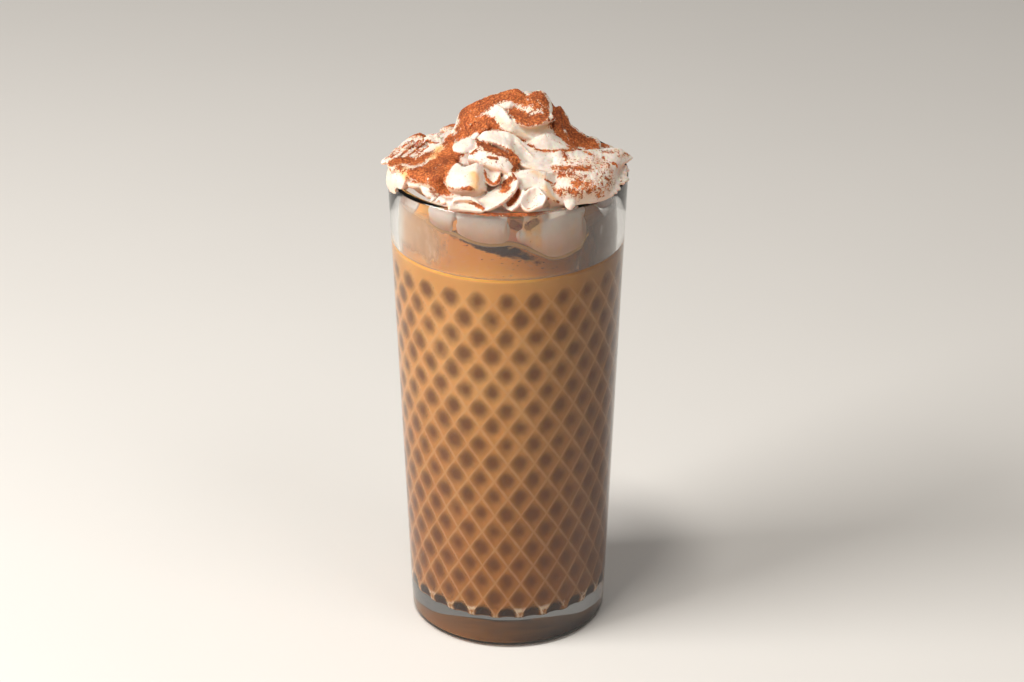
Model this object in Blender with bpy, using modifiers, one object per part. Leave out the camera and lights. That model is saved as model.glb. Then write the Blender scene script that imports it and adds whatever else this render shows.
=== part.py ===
"""Tall tumbler of iced coffee under whipped cream. Metres, +Z up, origin at the centre of the foot.

Three solids: the tumbler, which is smooth outside and has rows of lozenge pads on its inner wall; the
coffee, which fills it to just above the first row of pads; and the cream, which floats on the coffee,
heaps up over the mouth and hangs over the rim at both sides. The viewer stands at -Y.
"""

import math

import bmesh
import bpy
from mathutils import Matrix, Vector

MM = 0.001

# Tumbler
HEIGHT = 155 * MM
RIM_RADIUS = 37.6 * MM
FOOT_RADIUS = 31.6 * MM
WALL = 2.3 * MM
FLOOR = 10.1 * MM
FOOT_ROUNDING = 1.6 * MM
FLOOR_ROUNDING = 1.2 * MM
ROUND_STEPS = 48
FOOT_STEPS = 3
LIP_STEPS = 6

# Lozenge pads on the inner wall: staggered rows, the first just under the coffee's surface
PADS_AROUND = 24
PAD_ROWS = 18
FIRST_ROW = 124.2 * MM
ROW_STEP = 6.285 * MM
PAD_MARGIN = 1.5 * MM
PAD_HEIGHT = 0.7 * MM
SPLICE_BAND = 0.6 * MM

# Contents, each with a gap to what it touches
COFFEE_LEVEL = 131.7 * MM
DENT_DEPTH = 1.7 * MM
GAP = 0.3 * MM

# Folds of cream: start, bend and end of the spine (x, y, height over the rim), then half-width,
# rise above the spine, depth below it and roll in degrees. Millimetres.
HEAP_FOLDS = {
    "core": ((-31, 3, -5), (0, 3, 9), (31, 3, -5), 27, 12, 12, 0),
    "stem": ((-18, 8, -14), (4, 6, -14), (26, 4, -14), 24, 12, 12, 0),
    "ridge": ((-19, 3, 8), (-9, 3, 22), (5, 3, 23), 7, 4, 10, 0),
    "cheek": ((-7, -2, 20), (0, -6, 21.5), (1.5, -11, 14), 4.5, 3, 8, 0),
    "curl": ((9.5, 7, 23.5), (7.6, -3, 22), (6.4, -11.5, 12.5), 6.6, 2.8, 9, 8),
    "collar": ((7, -10, 10), (14, -9, 14.5), (22, -8, 6), 3.4, 2, 5, 0),
    "shoulder": ((11, 10, 15), (17.5, 9, 17.5), (21, 8, 5), 6, 3, 8, 0),
    "haunch": ((16, 8, 7), (24, 7, 9.5), (30, 6, 2), 6, 2.6, 8, 0),
    "knob": ((27, 9, 5), (28, 4, 8), (28.5, 1, 4), 3, 2.4, 4, 0),
    "ribbon": ((-11, -9, 14), (2, -14, 16.5), (20, -15, 7), 5.5, 3, 6, 12),
}
LEFT_FOLDS = {
    "left_tongue": ((-28, 11, 2.5), (-29.5, -2, 9), (-29, -20, 1), 10, 3.2, 6, 20),
    "left_tip": ((-31, 0, 3.5), (-37, -2, 4.5), (-39.3, -4, 2.2), 2.4, 1.4, 2, 0),
    "left_bulge": ((-32, -5, 4), (-37, -10, 3.5), (-34.5, -14, -6), 5, 4, 4, 0),
    "left_hump": ((-21, 9, 4), (-22.5, 3, 9.5), (-23, -4, 5), 4.4, 3, 6, 0),
    "left_slope": ((-26, -2, 5), (-23, -14, 9), (-22, -28, 1), 11, 3.5, 6, 10),
}
RIGHT_FOLDS = {
    "right_tongue": ((27.5, 1, 6.5), (24.5, -16, 8.5), (22.5, -32, 0), 12.5, 3.2, 6, 8),
    "right_tip": ((28, 1, 5.5), (36, -3, 6.5), (39, -5, 3.2), 4.5, 2, 5, 0),
    "right_hollow": ((7, -20, 8), (13, -25, 8.5), (15, -32, 0), 5, 2.5, 6, 0),
}
FRONT_FOLDS = {
    "blob": ((-12, -17, 9), (-14, -22, 9.5), (-14.5, -29, 2), 6, 3.5, 6, 0),
    "button": ((-17.5, -15, 11.5), (-13.5, -16, 14.5), (-9.5, -14, 14), 2.8, 2, 4, 0),
    "crest": ((-14, -17, 11), (-4, -20, 15.5), (4.5, -21, 8.5), 4.5, 3, 6, 0),
    "petal_1": ((-3.5, -20, 8), (-5, -25, 10.5), (-5.2, -29, 4.5), 3, 1.6, 3.5, 0),
    "petal_2": ((-0.5, -21, 7.5), (1, -29, 9), (-3, -33.5, 0.5), 4.2, 2.5, 5, 14),
    "petal_3": ((5, -23, 5.5), (10, -30, 7), (5, -34.5, 0.3), 4.6, 2.5, 4, 14),
    "petal_4": ((-18, -29, 0), (-13, -32, 2.5), (-7, -33, 0), 2.8, 1.6, 2, 0),
    "front_base": ((-13, -22, 1), (1, -32, 4), (15, -25, 1), 6, 2.5, 4, 0),
    "petal_5": ((-8, -24, 4), (-6, -31, 4.5), (-4, -34, 0), 5, 2.5, 4, 0),
}
INSIDE_FOLDS = {
    "flap_1": ((-14, -12, -4), (-22, -22, -1), (-23, -26, -9), 6, 4, 5, 0),
    "flap_2": ((-6, -16, -4), (-7, -30, -1), (-7, -33, -12), 9.5, 4, 5, 0),
    "flap_3": ((10, -10, -4), (17, -28, 2), (16, -31, -20), 12, 5, 7, 0),
    "flap_4": ((20, 2, -6), (28, -7, -2), (28, -12, -19), 8, 4, 6, 0),
}
# The far side: rows of folds over the half turn behind the peak. Count, first and last angle, then
# radius and height of the spine's start, bend and end, half-width, rise and depth.
FAR_ROWS = (
    (3, 60, 140, (2, 21), (13, 19), (23, 6), 8, 3, 8),
    (5, 25, 148, (14, 9), (26, 7), (37, -1.5), 9, 2.4, 6),
)
FAR_ROLL = 12
FAR_LEAN = 0.8
EDGE_SHARPNESS = 1.3
SLIVER = 0.005 * MM
FOLD_SIDES = 10
SMALL_FOLD = 5
SMALL_FOLD_SIDES = 8
FOLD_STEPS = 7

SHARP_ANGLE = math.radians(40)
COLOURS = {
    "glass": ((0.86, 0.90, 0.90, 1.0), 0.04),
    "iced_coffee": ((0.50, 0.27, 0.12, 1.0), 0.25),
    "whipped_cream": ((0.90, 0.85, 0.78, 1.0), 0.45),
}


def clear_scene():
    for obj in list(bpy.data.objects):
        bpy.data.objects.remove(obj)


def new_collection(name):
    collection = bpy.data.collections.new(name)
    bpy.context.scene.collection.children.link(collection)
    return collection


def add_object(name, mesh, collection):
    obj = bpy.data.objects.new(name, mesh)
    collection.objects.link(obj)
    return obj


def mesh_from(bm, name):
    mesh = bpy.data.meshes.new(name)
    bm.to_mesh(mesh)
    bm.free()
    return mesh


def material(name):
    colour, roughness = COLOURS[name]
    made = bpy.data.materials.new(name)
    made.use_nodes = True
    shader = made.node_tree.nodes["Principled BSDF"]
    shader.inputs["Base Color"].default_value = colour
    shader.inputs["Roughness"].default_value = roughness
    shader.inputs["Metallic"].default_value = 0.0
    if name == "glass":
        shader.inputs["Transmission Weight"].default_value = 1.0
        shader.inputs["IOR"].default_value = 1.5
    made.diffuse_color = colour
    return made


def finish(obj):
    """Gives a piece its own material and smooth shading between its sharp edges."""
    obj.data.materials.clear()
    obj.data.materials.append(material(obj.name))
    obj.data.shade_smooth()
    obj.data.set_sharp_from_angle(angle=SHARP_ANGLE)


def outer_radius(z):
    return FOOT_RADIUS + (RIM_RADIUS - FOOT_RADIUS) * z / HEIGHT


def inner_radius(z):
    return outer_radius(z) - WALL


def arc(centre, radius, start, end, steps):
    """Points (radius from the axis, height) on an arc of the profile, with angles in degrees."""
    points = []
    for step in range(steps + 1):
        angle = math.radians(start + (end - start) * step / steps)
        points.append((centre[0] + radius * math.cos(angle), centre[1] + radius * math.sin(angle)))
    return points


def ring(bm, radius, z, count=ROUND_STEPS, turn=0.0):
    """A ring of vertices. Angle 0 faces the viewer at -Y."""
    verts = []
    for i in range(count):
        angle = 2 * math.pi * (i + turn) / count
        verts.append(bm.verts.new((radius * math.sin(angle), -radius * math.cos(angle), z)))
    return verts


def skin(bm, lower, upper):
    """Quads between two rings of the same count."""
    count = len(lower)
    for i in range(count):
        k = (i + 1) % count
        bm.faces.new((lower[i], lower[k], upper[k], upper[i]))


def splice(bm, few, many):
    """Triangles between a ring and one above it with twice its count."""
    count = len(few)
    for i in range(count):
        left, right = few[i], few[(i + 1) % count]
        top = [many[(2 * i + step) % len(many)] for step in range(3)]
        bm.faces.new((left, top[1], top[0]))
        bm.faces.new((left, right, top[1]))
        bm.faces.new((right, top[2], top[1]))


def lozenge_wall(bm, inset):
    """The patterned stretch of the cavity's wall, or of the coffee inset from it.

    Returns its top ring, its bottom ring and the lozenge faces.
    """
    top = FIRST_ROW + ROW_STEP
    rows = []
    for j in range(PAD_ROWS + 2):
        z = top - j * ROW_STEP
        rows.append(ring(bm, inner_radius(z) - inset, z, PADS_AROUND, turn=0.5 * (j % 2)))
    lozenges = []
    for j in range(PAD_ROWS):
        shift = -(j % 2 == 0)
        for i in range(PADS_AROUND):
            left = rows[j + 1][(i + shift) % PADS_AROUND]
            right = rows[j + 1][(i + shift + 1) % PADS_AROUND]
            lozenges.append(bm.faces.new((rows[j][i], left, rows[j + 2][i], right)))
    for i in range(PADS_AROUND):
        k = (i + 1) % PADS_AROUND
        bm.faces.new((rows[0][k], rows[0][i], rows[1][i]))
        last, below = rows[-2], rows[-1]
        shift = PAD_ROWS % 2
        bm.faces.new((last[i], below[(i + shift - 1) % PADS_AROUND], below[(i + shift) % PADS_AROUND]))
    return rows[0], rows[-1], lozenges


def floor_ring(bm, z, inset):
    """Edge of the cavity's flat floor, turned to match the last row of the pattern."""
    turn = 0.5 * ((PAD_ROWS + 1) % 2)
    return ring(bm, inner_radius(z) - FLOOR_ROUNDING - inset, z, PADS_AROUND, turn)


def lip_profile(grow):
    """Round lip, from the outer wall over the top to the inner wall, grown by a margin."""
    lip = WALL / 2
    return arc((RIM_RADIUS - lip, HEIGHT - lip), lip + grow, 0, 180, LIP_STEPS)


def build_glass(collection):
    bm = bmesh.new()
    foot = arc((FOOT_RADIUS - FOOT_ROUNDING, FOOT_ROUNDING), FOOT_ROUNDING, -90, 0, FOOT_STEPS)
    splice_top = FIRST_ROW + ROW_STEP + SPLICE_BAND
    outline = foot + lip_profile(0.0) + [(inner_radius(splice_top), splice_top)]
    rings = [ring(bm, radius, z) for radius, z in outline]
    for lower, upper in zip(rings, rings[1:]):
        skin(bm, lower, upper)
    bm.faces.new(list(reversed(rings[0])))

    top, bottom, lozenges = lozenge_wall(bm, 0.0)
    splice(bm, top, rings[-1])
    corner = floor_ring(bm, FLOOR, 0.0)
    skin(bm, corner, bottom)
    bm.faces.new(corner)
    bmesh.ops.recalc_face_normals(bm, faces=bm.faces)
    bmesh.ops.inset_individual(
        bm, faces=lozenges, thickness=PAD_MARGIN, depth=PAD_HEIGHT, use_even_offset=True
    )
    glass = add_object("glass", mesh_from(bm, "glass"), collection)
    finish(glass)


def build_coffee(collection):
    bm = bmesh.new()
    top, bottom, lozenges = lozenge_wall(bm, GAP)
    surface = ring(bm, inner_radius(COFFEE_LEVEL) - GAP, COFFEE_LEVEL, PADS_AROUND)
    skin(bm, top, surface)
    bm.faces.new(surface)
    corner = floor_ring(bm, FLOOR + GAP, GAP)
    skin(bm, corner, bottom)
    bm.faces.new(list(reversed(corner)))
    bmesh.ops.recalc_face_normals(bm, faces=bm.faces)
    bmesh.ops.poke(bm, faces=lozenges, offset=-DENT_DEPTH)
    coffee = add_object("iced_coffee", mesh_from(bm, "iced_coffee"), collection)
    finish(coffee)


def rim_point(point):
    """A point given in millimetres, with its height over the rim, in the part's own frame."""
    return Vector(point) * MM + Vector((0, 0, HEIGHT))


def fold(start, bend, end, half_width, rise, depth, roll):
    """One fold of cream: a sphere drawn out along a curved spine, with thin edges at both sides."""
    start, bend, end = rim_point(start), rim_point(bend), rim_point(end)
    sides = FOLD_SIDES if half_width > SMALL_FOLD else SMALL_FOLD_SIDES
    bm = bmesh.new()
    bmesh.ops.create_uvsphere(bm, u_segments=sides, v_segments=FOLD_STEPS, radius=1)
    for vert in bm.verts:
        lift, across, along = vert.co.x, vert.co.y, (1 + vert.co.z) / 2
        size = math.hypot(lift, across)
        if size > 0:
            thickness = rise if lift > 0 else depth
            lift = thickness * size * math.copysign(abs(lift / size) ** EDGE_SHARPNESS, lift)
        centre = start.lerp(bend, along).lerp(bend.lerp(end, along), along)
        spine = (bend.lerp(end, along) - start.lerp(bend, along)).normalized()
        side = Matrix.Rotation(math.radians(roll), 3, spine) @ spine.cross(Vector((0, 0, 1))).normalized()
        vert.co = centre + (side * across * half_width + side.cross(spine) * lift) * MM
    bmesh.ops.recalc_face_normals(bm, faces=bm.faces)
    return bm


def heap_cutter(cutters):
    """Turned solid of the tumbler's wall and the coffee, grown by the gap, to cut out of the cream."""
    low = FIRST_ROW
    level = COFFEE_LEVEL + GAP
    outline = [(0, level), (inner_radius(level) - GAP, level)]
    outline += list(reversed(lip_profile(GAP)))
    outline += [(outer_radius(low) + GAP, low), (0, low)]
    bm = bmesh.new()
    verts = [bm.verts.new((radius, 0, z)) for radius, z in outline]
    for first, second in zip(verts, verts[1:]):
        bm.edges.new((first, second))
    cutter = add_object("heap_cutter", mesh_from(bm, "heap_cutter"), cutters)
    screw = cutter.modifiers.new("turn", "SCREW")
    screw.steps = screw.render_steps = ROUND_STEPS
    screw.use_merge_vertices = True
    screw.merge_threshold = 0.00001
    cutter.hide_render = True
    cutter.display_type = "WIRE"
    return cutter


def apply_modifiers(obj):
    graph = bpy.context.evaluated_depsgraph_get()
    obj.data = bpy.data.meshes.new_from_object(obj.evaluated_get(graph))
    obj.modifiers.clear()


def linked_verts(first):
    """Every vertex of the body that the first one is on."""
    found, open_ends = {first}, [first]
    while open_ends:
        vert = open_ends.pop()
        for edge in vert.link_edges:
            other = edge.other_vert(vert)
            if other not in found:
                found.add(other)
                open_ends.append(other)
    return found


def keep_main_body(mesh):
    """Drops loose scraps and sealed hollows, and merges the slivers that cutting leaves."""
    bm = bmesh.new()
    bm.from_mesh(mesh)
    left, main_body = set(bm.verts), set()
    while left:
        body = linked_verts(next(iter(left)))
        left -= body
        if len(body) > len(main_body):
            main_body = body
    bmesh.ops.delete(bm, geom=[vert for vert in bm.verts if vert not in main_body], context="VERTS")
    bmesh.ops.remove_doubles(bm, verts=bm.verts, dist=SLIVER)
    bmesh.ops.triangulate(bm, faces=bm.faces)
    bm.to_mesh(mesh)
    bm.free()


def far_folds():
    """Folds behind the peak, out of the viewer's sight, in rows that slope down to the rim."""
    folds = {}
    for row, (count, first, last, start, bend, end, half_width, rise, depth) in enumerate(FAR_ROWS):
        for i in range(count):
            angle = math.radians(first + (last - first) * i / (count - 1))
            swell = math.sin(angle) ** 2 * (1 + FAR_LEAN * math.cos(angle))
            spine = [
                (radius * math.cos(angle), radius * math.sin(angle), height * swell)
                for radius, height in (start, bend, end)
            ]
            roll = FAR_ROLL if i % 2 else -FAR_ROLL
            folds[f"far_{row}_{i}"] = (*spine, half_width, rise, depth, roll)
    return folds


def build_cream(collection, cutters):
    folds = new_collection("folds")
    for group in (HEAP_FOLDS, LEFT_FOLDS, RIGHT_FOLDS, FRONT_FOLDS, INSIDE_FOLDS, far_folds()):
        for name, shape in group.items():
            add_object(name, mesh_from(fold(*shape), name), folds)
    base = folds.objects[0]
    folds.objects.unlink(base)
    collection.objects.link(base)
    base.name = "whipped_cream"
    union = base.modifiers.new("union", "BOOLEAN")
    union.operation = "UNION"
    union.operand_type = "COLLECTION"
    union.collection = folds
    cut = base.modifiers.new("cut", "BOOLEAN")
    cut.operation = "DIFFERENCE"
    cut.object = heap_cutter(cutters)
    apply_modifiers(base)
    for obj in list(folds.objects):
        bpy.data.objects.remove(obj)
    keep_main_body(base.data)
    finish(base)


def main():
    clear_scene()
    parts = new_collection("iced_coffee_glass")
    cutters = new_collection("cutters")
    build_glass(parts)
    build_coffee(parts)
    build_cream(parts, cutters)


main()
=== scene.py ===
import math
import random

import bmesh
import bpy
import numpy as np
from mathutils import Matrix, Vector, noise


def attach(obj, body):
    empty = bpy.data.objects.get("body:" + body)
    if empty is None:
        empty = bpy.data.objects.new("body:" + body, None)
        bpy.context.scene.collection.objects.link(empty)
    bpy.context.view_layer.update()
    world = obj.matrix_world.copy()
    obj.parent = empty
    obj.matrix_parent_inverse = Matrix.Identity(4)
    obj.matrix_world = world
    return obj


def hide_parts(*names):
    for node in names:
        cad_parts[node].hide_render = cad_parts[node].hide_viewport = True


# Iced coffee in a tall patterned tumbler, with whipped cream and cocoa powder. The script works in
# metres, +Z up, with the viewer at -Y. The looks and tables give millimetres and plain shares.
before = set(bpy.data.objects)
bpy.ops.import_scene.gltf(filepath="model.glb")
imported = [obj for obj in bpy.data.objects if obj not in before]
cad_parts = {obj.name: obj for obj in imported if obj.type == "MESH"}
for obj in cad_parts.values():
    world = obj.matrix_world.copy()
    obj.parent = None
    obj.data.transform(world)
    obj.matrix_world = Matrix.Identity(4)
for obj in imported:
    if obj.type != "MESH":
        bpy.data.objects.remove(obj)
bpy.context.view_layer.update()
mm = 0.001
print("frame loaded:", ", ".join(sorted(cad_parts)))


class Wire:
    # one output socket; arithmetic on it adds Math nodes
    def __init__(self, net, socket):
        self.net = net
        self.socket = socket

    def __add__(self, other):
        return self.net.math("ADD", self, other)

    __radd__ = __add__

    def __sub__(self, other):
        return self.net.math("SUBTRACT", self, other)

    def __rsub__(self, other):
        return self.net.math("SUBTRACT", other, self)

    def __mul__(self, other):
        return self.net.math("MULTIPLY", self, other)

    __rmul__ = __mul__

    def __truediv__(self, other):
        return self.net.math("DIVIDE", self, other)

    def __rtruediv__(self, other):
        return self.net.math("DIVIDE", other, self)

    def __neg__(self):
        return self.net.math("MULTIPLY", self, -1.0)

    def __abs__(self):
        return self.net.math("ABSOLUTE", self)

    def __gt__(self, other):
        return self.net.math("GREATER_THAN", self, other)

    def __lt__(self, other):
        return self.net.math("LESS_THAN", self, other)


class Net:
    # a node tree and the few ways of adding to it
    def __init__(self, tree):
        self.tree = tree
        tree.nodes.clear()

    def node(self, kind, settings=None, values=None, out=0):
        made = self.tree.nodes.new(kind)
        for name, value in (settings or {}).items():
            if name == "stops":
                self.setStops(made.color_ramp, value)
            else:
                setattr(made, name, value)
        for name, value in (values or {}).items():
            if isinstance(value, Wire):
                self.tree.links.new(value.socket, made.inputs[name])
            else:
                made.inputs[name].default_value = value
        return Wire(self, made.outputs[out]) if len(made.outputs) else made

    def setStops(self, ramp, stops):
        while len(ramp.elements) > 1:
            ramp.elements.remove(ramp.elements[-1])
        for index, (place, colour) in enumerate(stops):
            element = ramp.elements[0] if index == 0 else ramp.elements.new(place)
            element.position = place
            element.color = (*colour, 1.0)

    def math(self, operation, *values):
        return self.node("ShaderNodeMath", {"operation": operation}, dict(enumerate(values)))

    def most(self, first, second):
        return self.math("MAXIMUM", first, second)

    def smooth(self, value, low, high):
        # 0 at low and beyond, 1 at high and beyond, with a soft passage between
        values = {"Value": value, "From Min": low, "From Max": high}
        return self.node("ShaderNodeMapRange", {"interpolation_type": "SMOOTHSTEP"}, values)

    def over(self, value, band):
        # the same for a length, between two given in millimetres
        return self.smooth(value, band[0] * mm, band[1] * mm)

    def mix(self, factor, first, second):
        first = (*first, 1.0) if isinstance(first, tuple) else first
        second = (*second, 1.0) if isinstance(second, tuple) else second
        values = {0: factor, 6: first, 7: second}
        return self.node("ShaderNodeMix", {"data_type": "RGBA"}, values, out=2)

    def noise(self, vector, scale, detail=2.0, roughness=0.5):
        values = {"Vector": vector, "Scale": scale, "Detail": detail, "Roughness": roughness}
        return self.node("ShaderNodeTexNoise", {}, values)

    def stretch(self, vector, scale):
        return self.node("ShaderNodeMapping", {}, {"Vector": vector, "Scale": scale})

    def parts(self, vector):
        split = self.node("ShaderNodeSeparateXYZ", {}, {0: vector})
        return [Wire(self, outlet) for outlet in split.socket.node.outputs]

    def attribute(self, name):
        return self.node("ShaderNodeAttribute", {"attribute_name": name}, out=2)


def newMaterial(name, build, **fixed):
    made = bpy.data.materials.new(name)
    made.use_nodes = True
    net = Net(made.node_tree)
    place = net.node("ShaderNodeTexCoord", out=3)  # Object coordinates
    linked = build(net, place)
    shader = net.node("ShaderNodeBsdfPrincipled", {}, {**fixed, **linked})
    net.node("ShaderNodeOutputMaterial", {}, {"Surface": shader})
    return made


def newTree(name, sizes):
    # a Geometry Nodes tree with named inputs, and the wires that bring them in
    tree = bpy.data.node_groups.new(name, "GeometryNodeTree")
    kinds = {"Geometry": "NodeSocketGeometry"}
    kinds.update({size: "NodeSocketFloat" for size in sizes})
    kinds["Material"] = "NodeSocketMaterial"
    for label, kind in kinds.items():
        tree.interface.new_socket(label, in_out="INPUT", socket_type=kind)
    tree.interface.new_socket("Geometry", in_out="OUTPUT", socket_type=kinds["Geometry"])
    net = Net(tree)
    given = net.node("NodeGroupInput").socket.node
    return tree, net, {outlet.name: Wire(net, outlet) for outlet in given.outputs if outlet.name}


def endTree(net, geometry, material):
    real = net.node("GeometryNodeRealizeInstances", {}, {"Geometry": geometry})
    done = net.node("GeometryNodeSetMaterial", {}, {"Geometry": real, "Material": material})
    net.node("NodeGroupOutput", {}, {"Geometry": done})


def runTree(made, tree, values):
    # sets the tree's inputs by their identifiers and turns the result into a plain mesh
    modifier = made.modifiers.new(tree.name, "NODES")
    modifier.node_group = tree
    for item in tree.interface.items_tree:
        if item.in_out == "INPUT" and item.name in values:
            modifier[item.identifier] = values[item.name]
    applyModifiers(made)


def addObject(name, data):
    made = bpy.data.objects.new(name, data)
    bpy.context.scene.collection.objects.link(made)
    return made


def meshFrom(bm, name):
    mesh = bpy.data.meshes.new(name)
    bm.to_mesh(mesh)
    bm.free()
    return mesh


def applyModifiers(made):
    graph = bpy.context.evaluated_depsgraph_get()
    made.data = bpy.data.meshes.new_from_object(made.evaluated_get(graph))
    made.modifiers.clear()


def onCircle(radius, angle, height):
    # a place round the axis, its angle counted from the front towards +X
    return Vector((radius * math.sin(angle), -radius * math.cos(angle), height)) * mm


def lathe(name, profile, columns):
    # turns a profile of (radius, height, onWall) round the axis; radius 0 is a pole
    bm = bmesh.new()
    onWall = bm.verts.layers.float.new("onWall")
    rings = []
    for radius, height, wall in profile:
        ring = []
        for column in range(1 if radius == 0 else columns):
            vert = bm.verts.new(onCircle(radius, 2 * math.pi * column / columns, height))
            vert[onWall] = wall
            ring.append(vert)
        rings.append(ring)
    for lower, upper in zip(rings, rings[1:]):
        for column in range(columns):
            beyond = (column + 1) % columns
            if len(lower) == 1:
                bm.faces.new((lower[0], upper[beyond], upper[column]))
            elif len(upper) == 1:
                bm.faces.new((lower[column], lower[beyond], upper[0]))
            else:
                bm.faces.new((lower[column], lower[beyond], upper[beyond], upper[column]))
    for face in bm.faces:
        face.smooth = True
    return addObject(name, meshFrom(bm, name))


def arcPoints(centre, radius, start, end, steps, wall=0.0):
    points = []
    for step in range(steps + 1):
        angle = math.radians(start + (end - start) * step / steps)
        across = centre[0] + radius * math.cos(angle)
        points.append((across, centre[1] + radius * math.sin(angle), wall))
    return points


tumblerLook = {
    "height": 155.0,
    "rimRadius": 37.6,
    "footRadius": 31.6,
    "wall": 2.3,
    "floor": 10.1,
    "footRounding": 1.6,
    "floorRounding": 2.0,
    "underside": ((0, 0.35), (18.96, 0.35), (24.6, 0.25), (26.2, 0)),  # radius, height
    "columns": 288,
    "steps": {"foot": 8, "wall": 12, "lip": 14, "neck": 10, "corner": 6},
    "padStep": 0.8,  # between the rings of verts that carry the pads
    "padsAround": 24,
    "padRows": 19,
    "firstRow": 124.2,
    "rowStep": 6.285,
    "padHeight": 0.7,
    "padFlat": 0.42,  # share of the way from a pad's middle to its edge that stays flat
    "padFoot": 0.97,
    "baseBoost": 1.2,  # how much higher the pads are at the foot
    "boostFrom": 16.5,
    "boostFull": 12.0,
    "tint": (0.985, 0.992, 0.985),
    "smudgeScale": 900.0,
    "smudgeRoughness": 0.02,
}


def outerRadius(z):
    look = tumblerLook
    return look["footRadius"] + (look["rimRadius"] - look["footRadius"]) * z / look["height"]


def innerRadius(z):
    return outerRadius(z) - tumblerLook["wall"]


def wallPoints(radiusAt, low, high, steps):
    heights = [low + (high - low) * step / steps for step in range(1, steps)]
    return [(radiusAt(z), z, 0) for z in heights]


def padHeights():
    # the rings of verts that carry the pads, from the foot to the first row
    look = tumblerLook
    low = look["floor"] + look["floorRounding"]
    high = look["firstRow"] + look["rowStep"]
    steps = round((high - low) / look["padStep"])
    return [low + (high - low) * step / steps for step in range(steps + 1)]


def padLattice(net, place, padsAround, firstRow, rowStep):
    # where a place lies among the staggered rows of pads: how far it is from the nearest pad along
    # both diagonals, -0.5 to 0.5, and that pad's row
    x, y, z = net.parts(place)
    around = net.math("ARCTAN2", x, -y) * (padsAround / (2 * math.pi))
    down = (firstRow - z) / rowStep
    rising, falling = around + down * 0.5, around - down * 0.5
    first, second = net.math("ROUND", rising), net.math("ROUND", falling)
    return rising - first, falling - second, first - second


def padReliefTree():
    # pushes the wall's verts in towards the axis, in rounded lozenges
    tree, net, value = newTree("padRelief", (
        "Pads Around", "First Row", "Row Step", "Pad Rows", "Pad Height", "Pad Flat", "Pad Foot",
        "Base Boost", "Boost From", "Boost Full"))
    place = net.node("GeometryNodeInputPosition")
    lattice = (value[name] for name in ("Pads Around", "First Row", "Row Step"))
    first, second, row = padLattice(net, place, *lattice)
    relief = (row > -0.5) * (row < value["Pad Rows"] - 0.5)
    for away in (first, second):
        rise = 1.0 - net.smooth(abs(away) * 2.0, value["Pad Flat"], value["Pad Foot"])
        relief = relief * rise
    wall = net.node("GeometryNodeInputNamedAttribute", {"data_type": "FLOAT"}, {"Name": "onWall"})
    x, y, z = net.parts(place)
    boost = net.smooth(z, value["Boost From"], value["Boost Full"])
    deeper = 1.0 + boost * value["Base Boost"]
    push = relief * wall * deeper * value["Pad Height"] / net.math("SQRT", x * x + y * y)
    offset = net.node("ShaderNodeCombineXYZ", {}, {"X": -(x * push), "Y": -(y * push)})
    moved = net.node("GeometryNodeSetPosition", {}, {
        "Geometry": value["Geometry"], "Offset": offset})
    endTree(net, moved, value["Material"])
    return tree


def addPads(made, tree, material):
    look = tumblerLook
    runTree(made, tree, {
        "Pads Around": float(look["padsAround"]),
        "First Row": look["firstRow"] * mm,
        "Row Step": look["rowStep"] * mm,
        "Pad Rows": float(look["padRows"]),
        "Pad Height": look["padHeight"] * mm,
        "Pad Flat": look["padFlat"],
        "Pad Foot": look["padFoot"],
        "Base Boost": look["baseBoost"],
        "Boost From": look["boostFrom"] * mm,
        "Boost Full": look["boostFull"] * mm,
        "Material": material,
    })


def glassFinish(net, place):
    look = tumblerLook
    smudges = net.smooth(net.noise(place, look["smudgeScale"]), 0.45, 0.8)
    return {"Base Color": (*look["tint"], 1.0), "Roughness": smudges * look["smudgeRoughness"]}


def buildTumbler(tree):
    look, steps = tumblerLook, tumblerLook["steps"]
    foot, lip, corner = look["footRounding"], look["wall"] / 2, look["floorRounding"]
    floor, lipHeight = look["floor"], look["height"] - lip
    base = innerRadius(floor + corner)
    heights = padHeights()
    profile = [(radius, height, 0) for radius, height in look["underside"]]
    profile += arcPoints((look["footRadius"] - foot, foot), foot, -90, 0, steps["foot"])
    profile += wallPoints(outerRadius, foot, lipHeight, steps["wall"])
    profile += arcPoints((look["rimRadius"] - lip, lipHeight), lip, 0, 180, steps["lip"])
    profile += wallPoints(innerRadius, lipHeight, heights[-1], steps["neck"])
    profile += [(innerRadius(z), z, 1) for z in reversed(heights)]
    profile += arcPoints((base - corner, floor + corner), corner, 0, -90, steps["corner"], 1)[1:]
    profile += [(base * share, floor, 0) for share in (0.7, 0.4, 0.15, 0)]
    tumbler = lathe("tumbler", profile, look["columns"])
    glass = newMaterial("clearGlass", glassFinish, **{
        "Transmission Weight": 1.0, "IOR": 1.5, "Specular IOR Level": 0.15})
    addPads(tumbler, tree, glass)
    return tumbler


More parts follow.
